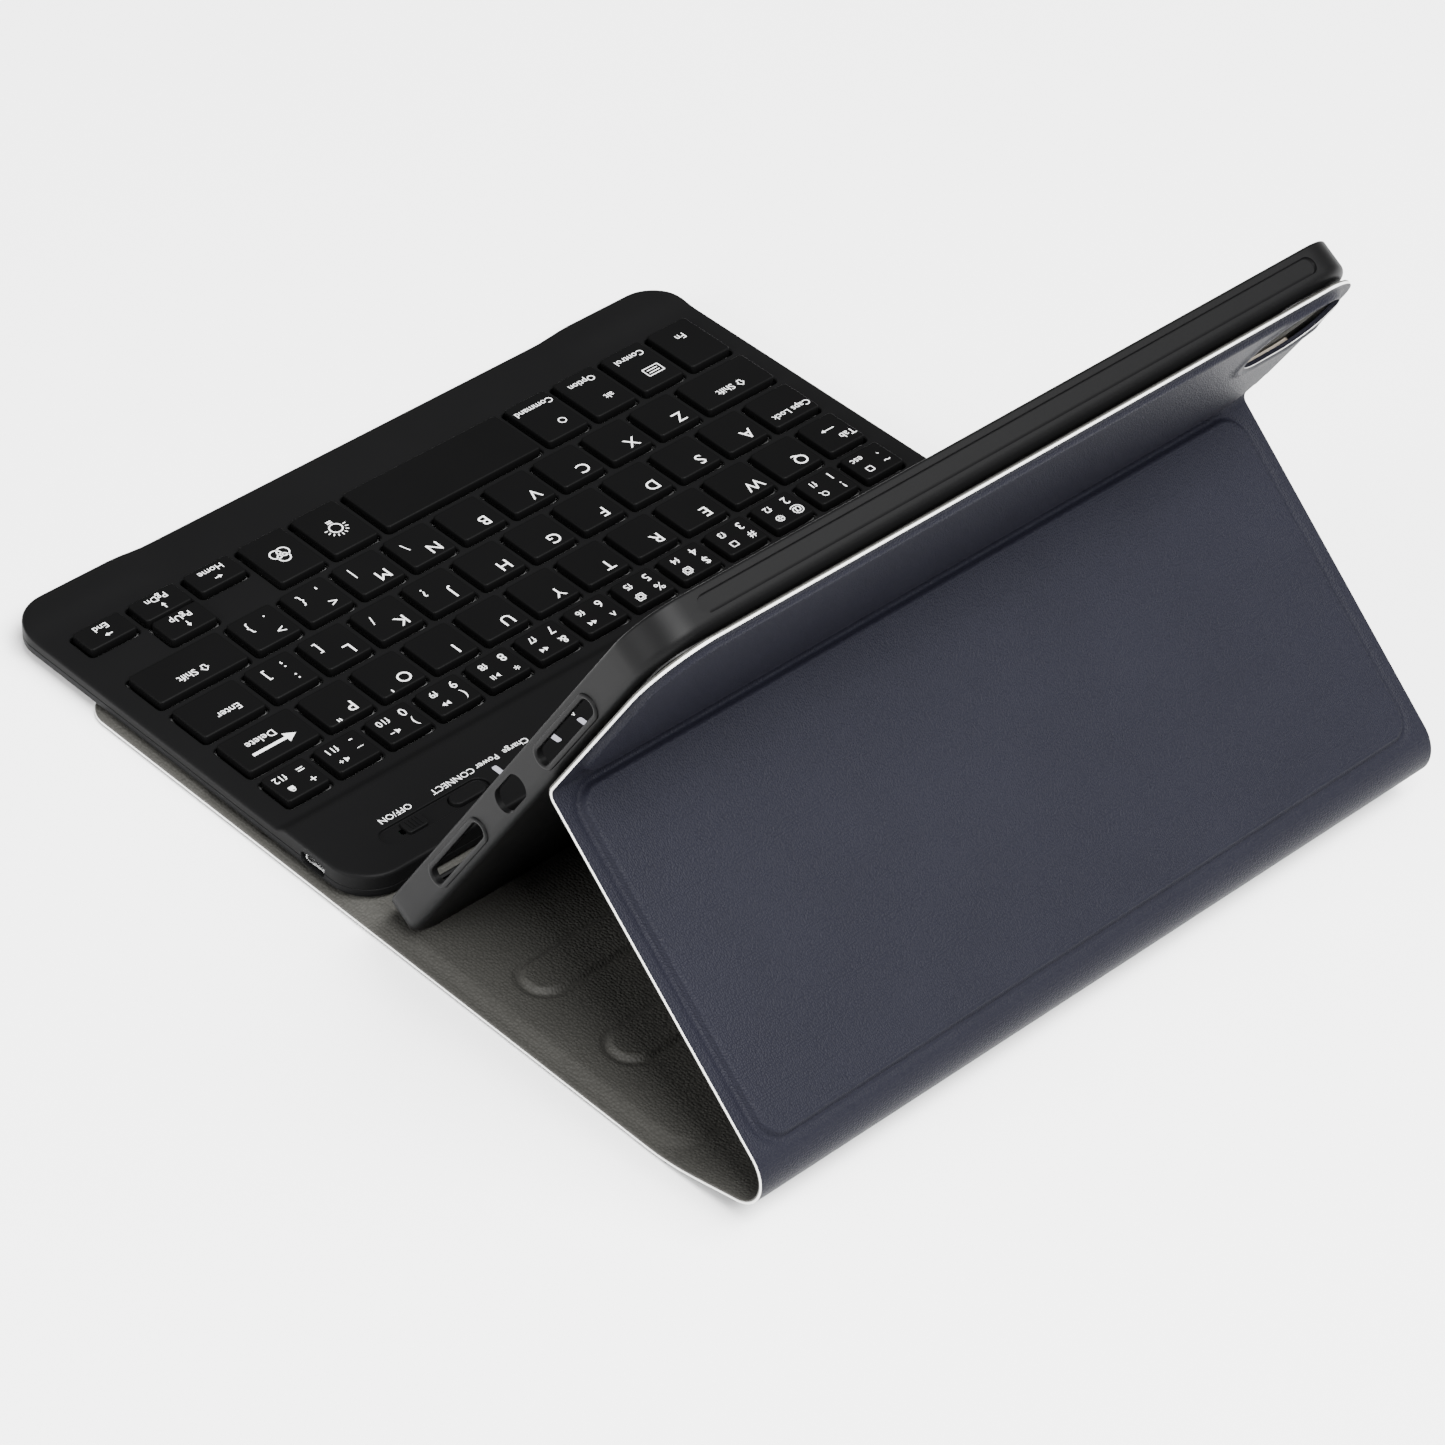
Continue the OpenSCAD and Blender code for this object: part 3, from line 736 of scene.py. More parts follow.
def sheet_rows(path, heights, s0, s1, trim, cross):
    """Distances along the cover at which a sheet has its cross sections."""
    cover = settings("cover")
    free_start, free_end = s0 < TINY, s1 > path.total - TINY
    start, end = s0 + (trim if free_start else 0), s1 - (trim if free_end else 0)
    marks = [start, end]
    for m, _, hs, _ in heights.boards:
        marks += [m - hs - 1.3 * MM, m + hs + 1.3 * MM]
    marks += list(cross)
    rows = list(spaced([m for m in marks if start <= m <= end], fine=0.6 * MM))
    if free_start or free_end:
        r = cover.front_radius if free_start else cover.top_radius
        arc = [r * (1 - math.cos(a)) for a in np.linspace(0.06, math.pi / 2, 16)]
        arc = [a for a in arc if a > 0.3 * MM] + [0.3 * MM]
        rows += [(start + a) if free_start else (end - a) for a in arc]
    curved = [s for s in np.arange(path.fold_a - 20 * MM, path.fold_b, 0.7 * MM)]
    curved += [s for s in np.arange(path.crease_a, path.crease_b, 0.35 * MM)]
    rows += [s for s in curved if start < s < end]
    rows = sorted(set(round(float(s), 7) for s in rows))
    return [rows[0]] + [b for a, b in zip(rows, rows[1:]) if b - a > 0.12 * MM or b == rows[-1]]


def sheet_columns(path, heights, s0, s1, high, side):
    """Places across the cover of a sheet's lengthwise lines, close together at every edge of a shape."""
    cover = settings("cover")
    marks = [-side, -COVER_HALF + cover.plate_inset, COVER_HALF - cover.plate_inset, side]
    marks += [-COVER_HALF + cover.upper_inset, COVER_HALF - cover.upper_inset]
    if s0 < 0.2 and high == heights.inner:
        marks += [x for _, hx, hs in heights.stops for x in (-hx, hx - hs, hx, -hx + hs)]
    if s1 > path.total - TINY:
        marks += [OPENING_X + d for d in (-OPENING_HALF, -4 * MM, 4 * MM, OPENING_HALF)]
    return spaced([m for m in marks if abs(m) <= side], fine=0.6 * MM, reach=3.5 * MM)


def cover_sheet(name, path, heights, s0, s1, low, high, materials, trim=0.0, edge=True, cross=()):
    """Closed sheet between two height functions from s0 to s1, with a painted rim at its free edges."""
    free_start, free_end = s0 < TINY, s1 > path.total - TINY
    round_off = 0.25 * MM
    side = COVER_HALF - trim
    rows = sheet_rows(path, heights, s0, s1, trim, cross)
    columns = sheet_columns(path, heights, s0, s1, high, side)
    vertices, faces, slots = [], [], []
    loop_size = 2 * len(columns) + 4
    last = len(rows) - 1
    for k, s in enumerate(rows):
        free = (k == 0 and free_start) or (k == last and free_end)
        half = half_width(path, s, trim)
        xs = columns * (half / side)
        xs[0], xs[-1] = -half + round_off, half - round_off
        y, z, ny, nz = path.at(s)
        lo = low(xs, np.full_like(xs, s)) * np.ones_like(xs)
        hi = high(xs, np.full_like(xs, s)) * np.ones_like(xs)
        if free:
            lo, hi = lo + round_off, hi - round_off
        ring = [(x, h) for x, h in zip(xs, lo)]
        ring += [(half, lo[-1] + round_off), (half, hi[-1] - round_off)]
        ring += [(x, h) for x, h in zip(xs[::-1], hi[::-1])]
        ring += [(-half, hi[0] - round_off), (-half, lo[0] + round_off)]
        vertices += [(x, y + ny * h, z + nz * h) for x, h in ring]
    n = len(columns)
    for k in range(last):
        a, b = k * loop_size, (k + 1) * loop_size
        near_edge = (free_start and k < 1) or (free_end and k == last - 1)
        for i in range(loop_size):
            j = (i + 1) % loop_size
            faces.append((a + i, a + j, b + j, b + i))
            band = n - 1 <= i <= n + 1 or i >= 2 * n + 1
            slots.append(1 if edge and (band or near_edge) else 0)
    for k in (0, last):
        a = k * loop_size
        painted = edge and ((k == 0 and free_start) or (k == last and free_end))
        for i in range(n - 1):
            faces.append((a + i, a + i + 1, a + 2 * n - i, a + 2 * n + 1 - i))
            slots.append(1 if painted else 0)
        faces.append((a + n - 1, a + n, a + n + 1, a + n + 2))
        faces.append((a, a + 2 * n + 1, a + 2 * n + 2, a + 2 * n + 3))
        slots += [1 if edge else 0] * 2
    return make_sheet(name, vertices, faces, materials, slots, smooth=50)


def skin_inside(heights):
    """Inner side of the outer skin, which rises to the top of the painted rim at the free edges."""
    def inside(x, s):
        half = half_width(heights.path, float(s[0]), 0.0)
        rim = smooth_step(np.abs(x), half - 1.6 * MM, half - 1.0 * MM)
        path = heights.path
        depth = min(float(s[0]), path.total - float(s[0]))
        rim = np.maximum(rim, 1 - smooth_step(depth, 1.0 * MM, 1.6 * MM))
        return heights.between_out(x, s) * (1 - rim) + 0.12 * MM * rim
    return inside


def cut_opening(obj, path, materials, grow, smooth=50):
    """Cuts the camera opening; the last material is on the outermost part of the cut."""
    x, s, hx, hs, r = camera_place(path)
    paint_z, reach = -1.9 * MM, 9 * MM
    rings = [(0, -reach), (0, paint_z), (0, reach)]
    size = (2 * (hx + grow), 2 * (hs + grow), r + grow)
    body = rounded_body("cutter", *size, rings, materials, arc=12)
    for polygon in body.data.polygons:
        polygon.material_index = len(materials) - 1 if polygon.center.z < paint_z else 0
    place(body, upper_matrix() @ Matrix.Translation((x, s - path.upper_zero, 0)))
    return cut(obj, [body], smooth=smooth)


def upper_matrix():
    """Places local (x, up, inward) coordinates on the upper back, counted from the crease."""
    return Matrix((
        (1, 0, 0, 0),
        (0, UPPER_DIR[0], UPPER_INNER[0], CREASE[0]),
        (0, UPPER_DIR[1], UPPER_INNER[1], CREASE[1]),
        (0, 0, 0, 1),
    ))


def cover_layers(label, path, heights, s0, s1, cross=()):
    """Outer skin and lining of one stretch of the cover."""
    skin = cover_sheet(label + "_leather", path, heights, s0, s1, heights.outer, skin_inside(heights),
                       [outer_leather(), painted_edge()], cross=cross)
    inside = cover_sheet(label + "_inside", path, heights, s0, s1, heights.between_in, heights.inner,
                         [lining_leather(), painted_edge()], trim=0.12 * MM, edge=False, cross=cross)
    return skin, inside


class CASE_OT_cover(bpy.types.Operator):
    """Outer leather and lining of the base, the lower back and the upper back"""
    bl_idname = "case.cover"
    bl_label = "Cover panels"

    def execute(self, context):
        path = CoverPath()
        heights = CoverHeights(path)
        stops = [v for m, _, hs in heights.stops for v in (m - hs, m + hs)]
        opening = camera_place(path)
        around = [opening[1] - opening[3], opening[1] + opening[3]]
        panels = (
            ("base", 0.0, path.fold_a, "base_outer_skin", "base_lining", stops),
            ("lower_back", path.fold_b, path.crease_a, "lower_back_skin", "lower_back_lining", ()),
            ("upper_back", path.crease_b, path.total, "upper_back_skin", "upper_back_lining", around),
        )
        for body, s0, s1, skin_node, lining_node, cross in panels:
            skin, inside = cover_layers(body, path, heights, s0, s1, cross)
            if body == "upper_back":
                cut_opening(skin, path, [outer_leather(), painted_edge()], 0)
                cut_opening(inside, path, [lining_leather()], 0.01 * MM)
            attach(skin, body, "outer_skin", skin_node)
            attach(inside, body, "lining", lining_node)
        return {"FINISHED"}


class CASE_OT_folds(bpy.types.Operator):
    """Leather and lining shaped round the two spine folds and the crease, and the stiff boards"""
    bl_idname = "case.folds"
    bl_label = "Fold strips"

    def execute(self, context):
        cover = settings("cover")
        path = CoverPath()
        heights = CoverHeights(path)
        folds = (
            ("base_fold", "base", "spine", path.fold_a, path.spine, "spine_skin", "spine_lining"),
            ("spine_fold", "spine", "lower_back", path.spine, path.fold_b, None, None),
            ("crease_fold", "lower_back", "upper_back", path.crease_a, path.crease_b, None, None),
        )
        for label, first, second, s0, s1, skin_node, lining_node in folds:
            skin, inside = cover_layers(label, path, heights, s0, s1)
            for piece, slot, node in ((skin, "outer_skin", skin_node), (inside, "lining", lining_node)):
                path.point(s0)
                path.point(s1)
                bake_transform(piece)
                if node:
                    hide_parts(node)

        def flat(height):
            return lambda x, s: np.full_like(x, height)

        spine = (path.spine - 5.4 * MM, path.spine + 5.4 * MM)
        lower = (path.lower_zero + 7.5 * MM, path.lower_zero + LOWER_LEN - 7.5 * MM)
        upper = (path.upper_zero + 9.5 * MM, path.total)
        for body, (s0, s1), half, trim in (
            ("spine", spine, 0.4 * MM, 8.4 * MM),
            ("lower_back", lower, 0.65 * MM, cover.plate_inset),
            ("upper_back", upper, 0.65 * MM, 9.2 * MM),
        ):
            piece = cover_sheet(body + "_stiffener", path, heights, s0, s1, flat(-half), flat(half),
                                [greyboard(), painted_edge()], trim=trim, edge=False)
            if body == "upper_back":
                cut_opening(piece, path, [greyboard()], 4 * MM)
            attach(piece, body, "board", body + "_board")
        return {"FINISHED"}


# ---------------------------------------------------------------- tray

def stadium_prism(name, length, width, depth, materials, arc=10):
    """Slot-shaped prism, its length along Y and its depth along X."""
    r = width / 2 * 0.999
    rings = [(0, -depth / 2), (0, depth / 2)]
    body = rounded_body(name, width, length, r, rings, materials, nx=1, ny=4, arc=arc)
    return place(body, Matrix.Rotation(math.pi / 2, 4, "Y"))


def stadium_rim(name, length, width, thick, raise_by, materials):
    """Rounded rim round a slot, its axis along X, its foot at x = 0."""
    steps = 10
    turns = [math.pi * k / steps for k in range(steps + 1)]
    profile = [(thick / 2 - thick / 2 * math.cos(a), raise_by * math.sin(a)) for a in turns]
    profile += [(thick, -0.9 * MM), (0, -0.9 * MM)]
    outer_w, outer_l = width + 2 * thick, length + 2 * thick
    vertices, faces = [], []
    r = outer_w / 2
    xs = [-0.0001 * MM, 0.0001 * MM]
    ys = list(np.linspace(-(outer_l / 2 - r), outer_l / 2 - r, 9))
    rings = [rounded_ring(outer_w, outer_l, r * 0.9999, inset, xs, ys, 12) for inset, _ in profile]
    n = len(rings[0])
    for ring, (_, height) in zip(rings, profile):
        vertices += [(height, y, -x) for x, y in ring]
    count = len(profile)
    for k in range(count):
        a, b = k * n, ((k + 1) % count) * n
        faces += [(a + i, a + (i + 1) % n, b + (i + 1) % n, b + i) for i in range(n)]
    return make_body(name, vertices, faces, materials, 45)


class CASE_OT_tray(bpy.types.Operator):
    """Soft tray that holds the tablet, with its slots, port, pencil recess and camera opening"""
    bl_idname = "case.tray"
    bl_label = "Tablet tray"

    def execute(self, context):
        tray = settings("tray")
        path = CoverPath()
        plastic = tray_plastic()
        to_local = upper_matrix().inverted()
        points = np.array([to_local @ v.co for v in frame["nodes"]["tablet_tray"].data.vertices])
        low, high = points.min(0), points.max(0)
        width = 2 * (high[0] - 0.5 * MM)
        height, depth = high[1] - low[1], high[2] - low[2]
        middle = Matrix.Translation((0, (low[1] + high[1]) / 2, low[2]))
        lip_at = tray.wall + tray.lip
        rings = quarter(tray.edge, 0, 0, tray.edge, 7)
        rings += [(0, depth * 0.55), (0, depth - 1.0 * MM)]
        rings += quarter(0, depth - 0.8 * MM, 0.8 * MM, depth, 5, "up")
        rings += quarter(lip_at - 0.5 * MM, depth, lip_at, depth - 0.5 * MM, 4)
        rings += [(lip_at, depth - 1.1 * MM), (lip_at - 0.1 * MM, depth - 1.2 * MM)]
        rings += [(tray.wall, depth - 1.2 * MM), (tray.wall, tray.back + 1.2 * MM)]
        rings += quarter(tray.wall, tray.back + 1.0 * MM, tray.wall + 1.0 * MM, tray.back, 4, "up")
        steps = [abs(a[0] - b[0]) + abs(a[1] - b[1]) for a, b in zip(rings, rings[1:])]
        rings = [rings[0]] + [ring for ring, step in zip(rings[1:], steps) if step > 1e-8]
        shell = rounded_body("tablet_tray_shell", width, height, tray.corner, rings, [plastic],
                             nx=40, ny=30, arc=14, smooth=45)
        slot_z = depth - 5.6 * MM
        cutters, rims = [], []
        for side in (-1, 1):
            for up in (-tray.slot_reach, tray.slot_reach):
                slot = stadium_prism("slot", tray.slot_length, tray.slot_width, 9 * MM, [plastic])
                cutters.append(moved(slot, side * width / 2, up, slot_z))
                rim = stadium_rim("rim", tray.slot_length, tray.slot_width, 1.5 * MM, 0.5 * MM, [plastic])
                if side < 0:
                    place(rim, Matrix.Rotation(math.pi, 4, "Y"))
                rims.append(moved(rim, side * width / 2, up, slot_z))
        port = stadium_prism("port", 16 * MM, 7 * MM, 9 * MM, [plastic])
        cutters.append(moved(port, width / 2, 0, slot_z))
        groove = [(0.35 * MM, -0.85 * MM), (0, -0.5 * MM), (0, 3 * MM)]
        recess = rounded_body("recess", 219 * MM, 5.2 * MM, 2.55 * MM, groove, [plastic],
                              nx=20, ny=1, arc=8)
        place(recess, Matrix.Rotation(-math.pi / 2, 4, "X"))
        cutters.append(moved(recess, -1.5 * MM, height / 2, depth - 4.85 * MM))
        cut(shell, cutters, smooth=45)
        place(shell, upper_matrix() @ middle)
        cut_opening(shell, path, [plastic], 0.5 * MM, smooth=45)
        attach(shell, "upper_back", "tray_plastic", "tablet_tray")
        rim_set = join("tray_slot_rims", rims)
        finish_shading(rim_set, 45)
        place(rim_set, upper_matrix() @ middle)
        attach(rim_set, "upper_back", "tray_plastic")
        return {"FINISHED"}


# ---------------------------------------------------------------- keyboard case

DECK = 6.5 * MM
KEY_TOP = 8.5 * MM
WINDOW_W = 1.8 * MM


def on_keyboard(obj, x=0.0, y=0.0):
    return place(obj, Matrix.Translation(KB_MID) @ Matrix.Translation((x, y, 0)))


def deck_height(x, y):
    """Height of the deck's surface above the keyboard's underside."""
    strip = 1.8 * MM * float(smooth_step(y, 41.5 * MM, 46.5 * MM))
    pad = float(smooth_step(abs(x), 74 * MM, 88 * MM)) * float(1 - smooth_step(y, -71 * MM, -60 * MM))
    return DECK + strip + 1.2 * MM * pad


def raised(drop):
    return lambda x, y: deck_height(x, y) - drop


def key_rect(node):
    """Middle and size of one key in keyboard coordinates."""
    low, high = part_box(node)
    middle = ((low.x + high.x) / 2 - KB_MID.x, (low.y + high.y) / 2 - KB_MID.y)
    return (*middle, high.x - low.x, high.y - low.y)


SINGLE_KEYS = (
    "tab_key", "caps_lock_key", "left_shift_key", "fn_key", "control_key", "option_key",
    "command_key", "space_key", "light_key", "colour_key", "home_key", "page_up_key",
    "page_down_key", "end_key", "right_shift_key", "enter_key", "delete_key",
)
KEY_ROWS = (("number_row_keys", 13), ("upper_row_keys", 10), ("home_row_keys", 10), ("lower_row_keys", 9))


def row_rects(node, count):
    """Rectangles of the equal keys in a row."""
    cx, cy, w, d = key_rect(node)
    key = (w - (count - 1) * settings("keyboard").key_gap) / count
    pitch = key + settings("keyboard").key_gap
    return [(cx - w / 2 + key / 2 + k * pitch, cy, key, d) for k in range(count)]


def all_key_rects():
    rects = [key_rect(node) for node in SINGLE_KEYS]
    for node, count in KEY_ROWS:
        rects += row_rects(node, count)
    return rects


def well_cutter(cx, cy, w, d, margin, material):
    """Prism with a flared mouth that leaves a chamfer round a key well."""
    flare = 0.3 * MM
    rings = [(flare, 2 * MM), (flare, DECK - flare), (0, DECK), (-flare, DECK + flare)]
    grow = 2 * (margin + flare)
    body = rounded_body("well", w + grow, d + grow, 1.6 * MM + flare, rings, [material], nx=1, ny=1, arc=4)
    return moved(body, cx, cy)


def control_measures():
    """Middles of the connect button and the power slider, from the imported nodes."""
    boxes = [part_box(node) for node in ("connect_button", "power_slider")]
    return [(low + high) / 2 - KB_MID for low, high in boxes]


def window_places():
    """Middles of the four indicator windows."""
    low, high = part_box("led_windows")
    step = (high.x - low.x - WINDOW_W) / 3
    return [(low.x + WINDOW_W / 2 + k * step, (low.y + high.y) / 2 - KB_MID.y) for k in range(4)]


class CASE_OT_keyboard_case(bpy.types.Operator):
    """Keyboard deck with its wells and controls, and the case under it"""
    bl_idname = "case.keyboard_case"
    bl_label = "Keyboard case"

    def execute(self, context):
        board = settings("keyboard")
        plastic = case_plastic()
        inner_x = KB_W / 2 - board.corner
        inner_y = KB_D / 2 - board.corner
        xs = np.linspace(-inner_x, inner_x, 57)
        ys = sorted(set(np.round(np.concatenate([
            np.linspace(-inner_y, -54 * MM, 9), np.linspace(-54 * MM, 40 * MM, 18),
            np.linspace(40 * MM, 48 * MM, 14), np.linspace(48 * MM, inner_y, 6),
        ]), 7)))
        split = 3.4 * MM
        rings = [(board.wall, raised(board.deck_wall)), (board.wall, split)]
        rings += [(0.15 * MM, split), (0, split + 0.15 * MM)]
        rings += [(0, raised(2.4 * MM)), (0, raised(1.1 * MM))]
        rings += [(inset, raised(drop)) for inset, drop in quarter(0, 1.0 * MM, 1.0 * MM, 0, 5, "up")]
        rings += [(inset * MM, raised(0)) for inset in (1.8, 3, 5, 8)]
        top = rounded_body("keyboard_deck", KB_W, KB_D, board.corner, rings, [plastic],
                           xs=xs, ys=ys, arc=12)
        button, slider = control_measures()
        cutters = [well_cutter(*rect, board.well, plastic) for rect in all_key_rects()]
        bowl = [(0.15 * MM, 7.3 * MM), (0, 7.45 * MM), (0, 8.1 * MM), (-0.5 * MM, 8.6 * MM)]
        recess = rounded_body("recess", 37.7 * MM, 7 * MM, 3.49 * MM, bowl, [plastic], arc=8)
        cutters.append(moved(recess, 89.55 * MM, button.y))
        top = cut(top, cutters)
        slot = prism("slot", 6.8, 2.2, 0.5, 2, 9, plastic, arc=3)
        hole = prism("hole", 12.6, 5.6, 2.7, 2, 9, plastic, arc=8)
        passes = [moved(slot, slider.x + 1.5 * MM, slider.y), moved(hole, button.x, button.y)]
        low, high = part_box("led_windows")
        for x, y in window_places():
            rings = [(0, 5 * MM), (0, 9 * MM)]
            window = rounded_body("window", WINDOW_W, high.y - low.y, 0.6 * MM, rings, [plastic], arc=4)
            passes.append(moved(window, x, y))
        passes.append(self.mouth(plastic))
        top = on_keyboard(cut(top, passes))
        attach(top, "keyboard", "case_plastic", "keyboard_top_case")

        base = [(1.2 * MM, 0.6 * MM)] + quarter(1.0 * MM, 0.6 * MM, 0, 1.6 * MM, 4)
        base += [(0, split - 0.15 * MM), (0.15 * MM, split), (board.wall, split), (board.wall, 1.6 * MM)]
        bottom = rounded_body("keyboard_tub", KB_W, KB_D, board.corner, base, [plastic],
                              nx=30, ny=20, arc=12)
        bottom = on_keyboard(cut(bottom, [self.mouth(plastic)]))
        attach(bottom, "keyboard", "case_plastic", "keyboard_bottom_case")
        return {"FINISHED"}

    @staticmethod
    def mouth(plastic):
        """Rounded opening in the right wall for the charging plug."""
        low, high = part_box("charging_socket")
        middle = (low + high) / 2 - KB_MID
        rings = [(0, -4 * MM), (0, 3 * MM), (-0.4 * MM, 3.6 * MM), (-2 * MM, 6 * MM)]
        body = rounded_body("mouth", 9 * MM, 3.2 * MM, 0.9 * MM, rings, [plastic], arc=5)
        turn = Matrix(((0, 0, 1, 0), (1, 0, 0, 0), (0, 1, 0, 0), (0, 0, 0, 1)))
        return place(body, Matrix.Translation((KB_W / 2 - 3.5 * MM, middle.y, middle.z)) @ turn)


# ---------------------------------------------------------------- keys

def key_cap(name, w, d, material):
    """Key cap with a rounded top edge, about its own middle, at its height over the underside."""
    bottom = 5.3 * MM
    rings = [(0.25 * MM, bottom), (0.1 * MM, bottom + 0.15 * MM), (0.12 * MM, KEY_TOP - 0.7 * MM)]
    rings += quarter(0.14 * MM, KEY_TOP - 0.55 * MM, 0.69 * MM, KEY_TOP, 4, "up")
    r = settings("keyboard").key_radius
    return rounded_body(name, w, d, r, rings, [material], nx=2, ny=2, arc=4, smooth=60)


def row_tree():
    """Geometry nodes that set copies of a template along a row."""
    if "Row of copies" in bpy.data.node_groups:
        return bpy.data.node_groups["Row of copies"]
    tree = bpy.data.node_groups.new("Row of copies", "GeometryNodeTree")
    for label, kind in (("Geometry", "Geometry"), ("Template", "Object"), ("Count", "Int"),
                        ("Start", "Vector"), ("Step", "Vector"), ("Material", "Material")):
        tree.interface.new_socket(label, in_out="INPUT", socket_type="NodeSocket" + kind)
    tree.interface.new_socket("Geometry", in_out="OUTPUT", socket_type="NodeSocketGeometry")
    inputs, outputs = tree.nodes.new("NodeGroupInput"), tree.nodes.new("NodeGroupOutput")
    line = tree.nodes.new("GeometryNodeMeshLine")
    template = tree.nodes.new("GeometryNodeObjectInfo")
    copies = tree.nodes.new("GeometryNodeInstanceOnPoints")
    real = tree.nodes.new("GeometryNodeRealizeInstances")
    paint = tree.nodes.new("GeometryNodeSetMaterial")
    link = tree.links.new
    link(inputs.outputs["Template"], template.inputs["Object"])
    link(inputs.outputs["Count"], line.inputs["Count"])
    link(inputs.outputs["Start"], line.inputs["Start Location"])
    link(inputs.outputs["Step"], line.inputs["Offset"])
    link(line.outputs["Mesh"], copies.inputs["Points"])
    link(template.outputs["Geometry"], copies.inputs["Instance"])
    link(copies.outputs["Instances"], real.inputs["Geometry"])
    link(real.outputs["Geometry"], paint.inputs["Geometry"])
    link(inputs.outputs["Material"], paint.inputs["Material"])
    link(paint.outputs["Geometry"], outputs.inputs["Geometry"])
    return tree


def row_of(name, template, count, start, step, material):
    """Plain mesh of count copies of template, set from start by step; the template is removed."""
    holder = link_object(name, bpy.data.meshes.new(name))
    modifier = holder.modifiers.new("row", "NODES")
    modifier.node_group = row_tree()
    values = {"Template": template, "Count": count, "Start": start, "Step": step, "Material": material}
    for item in modifier.node_group.interface.items_tree:
        if item.in_out == "INPUT" and item.name in values:
            modifier[item.identifier] = values[item.name]
    apply_modifiers(holder)
    bpy.data.objects.remove(template)
    return holder


class CASE_OT_keys(bpy.types.Operator):
    """Key caps: four rows of equal keys and the single keys"""
    bl_idname = "case.keys"
    bl_label = "Keys"

    def execute(self, context):
        material = key_plastic()
        for node, count in KEY_ROWS:
            rects = row_rects(node, count)
            cx, cy, w, d = rects[0]
            cap = key_cap("cap", w, d, material)
            start, step = (cx + KB_MID.x, cy + KB_MID.y, KB_MID.z), (rects[1][0] - cx, 0, 0)
            row = row_of(node.replace("_keys", "_caps"), cap, count, start, step, material)
            finish_shading(row, 60)
            attach(row, node + "_body", "key_plastic", node)
        for node in SINGLE_KEYS:
            cx, cy, w, d = key_rect(node)
            cap = key_cap(node.replace("_key", "_cap"), w, d, material)
            moved(cap, cx + KB_MID.x, cy + KB_MID.y, KB_MID.z)
            attach(cap, node + "_body", "key_plastic", node)
        return {"FINISHED"}


# ---------------------------------------------------------------- legends

PRINT_HALF = 0.012 * MM
KEY_PRINT = KEY_TOP + 0.008 * MM
STRIP_PRINT = 8.3 * MM + 0.01 * MM


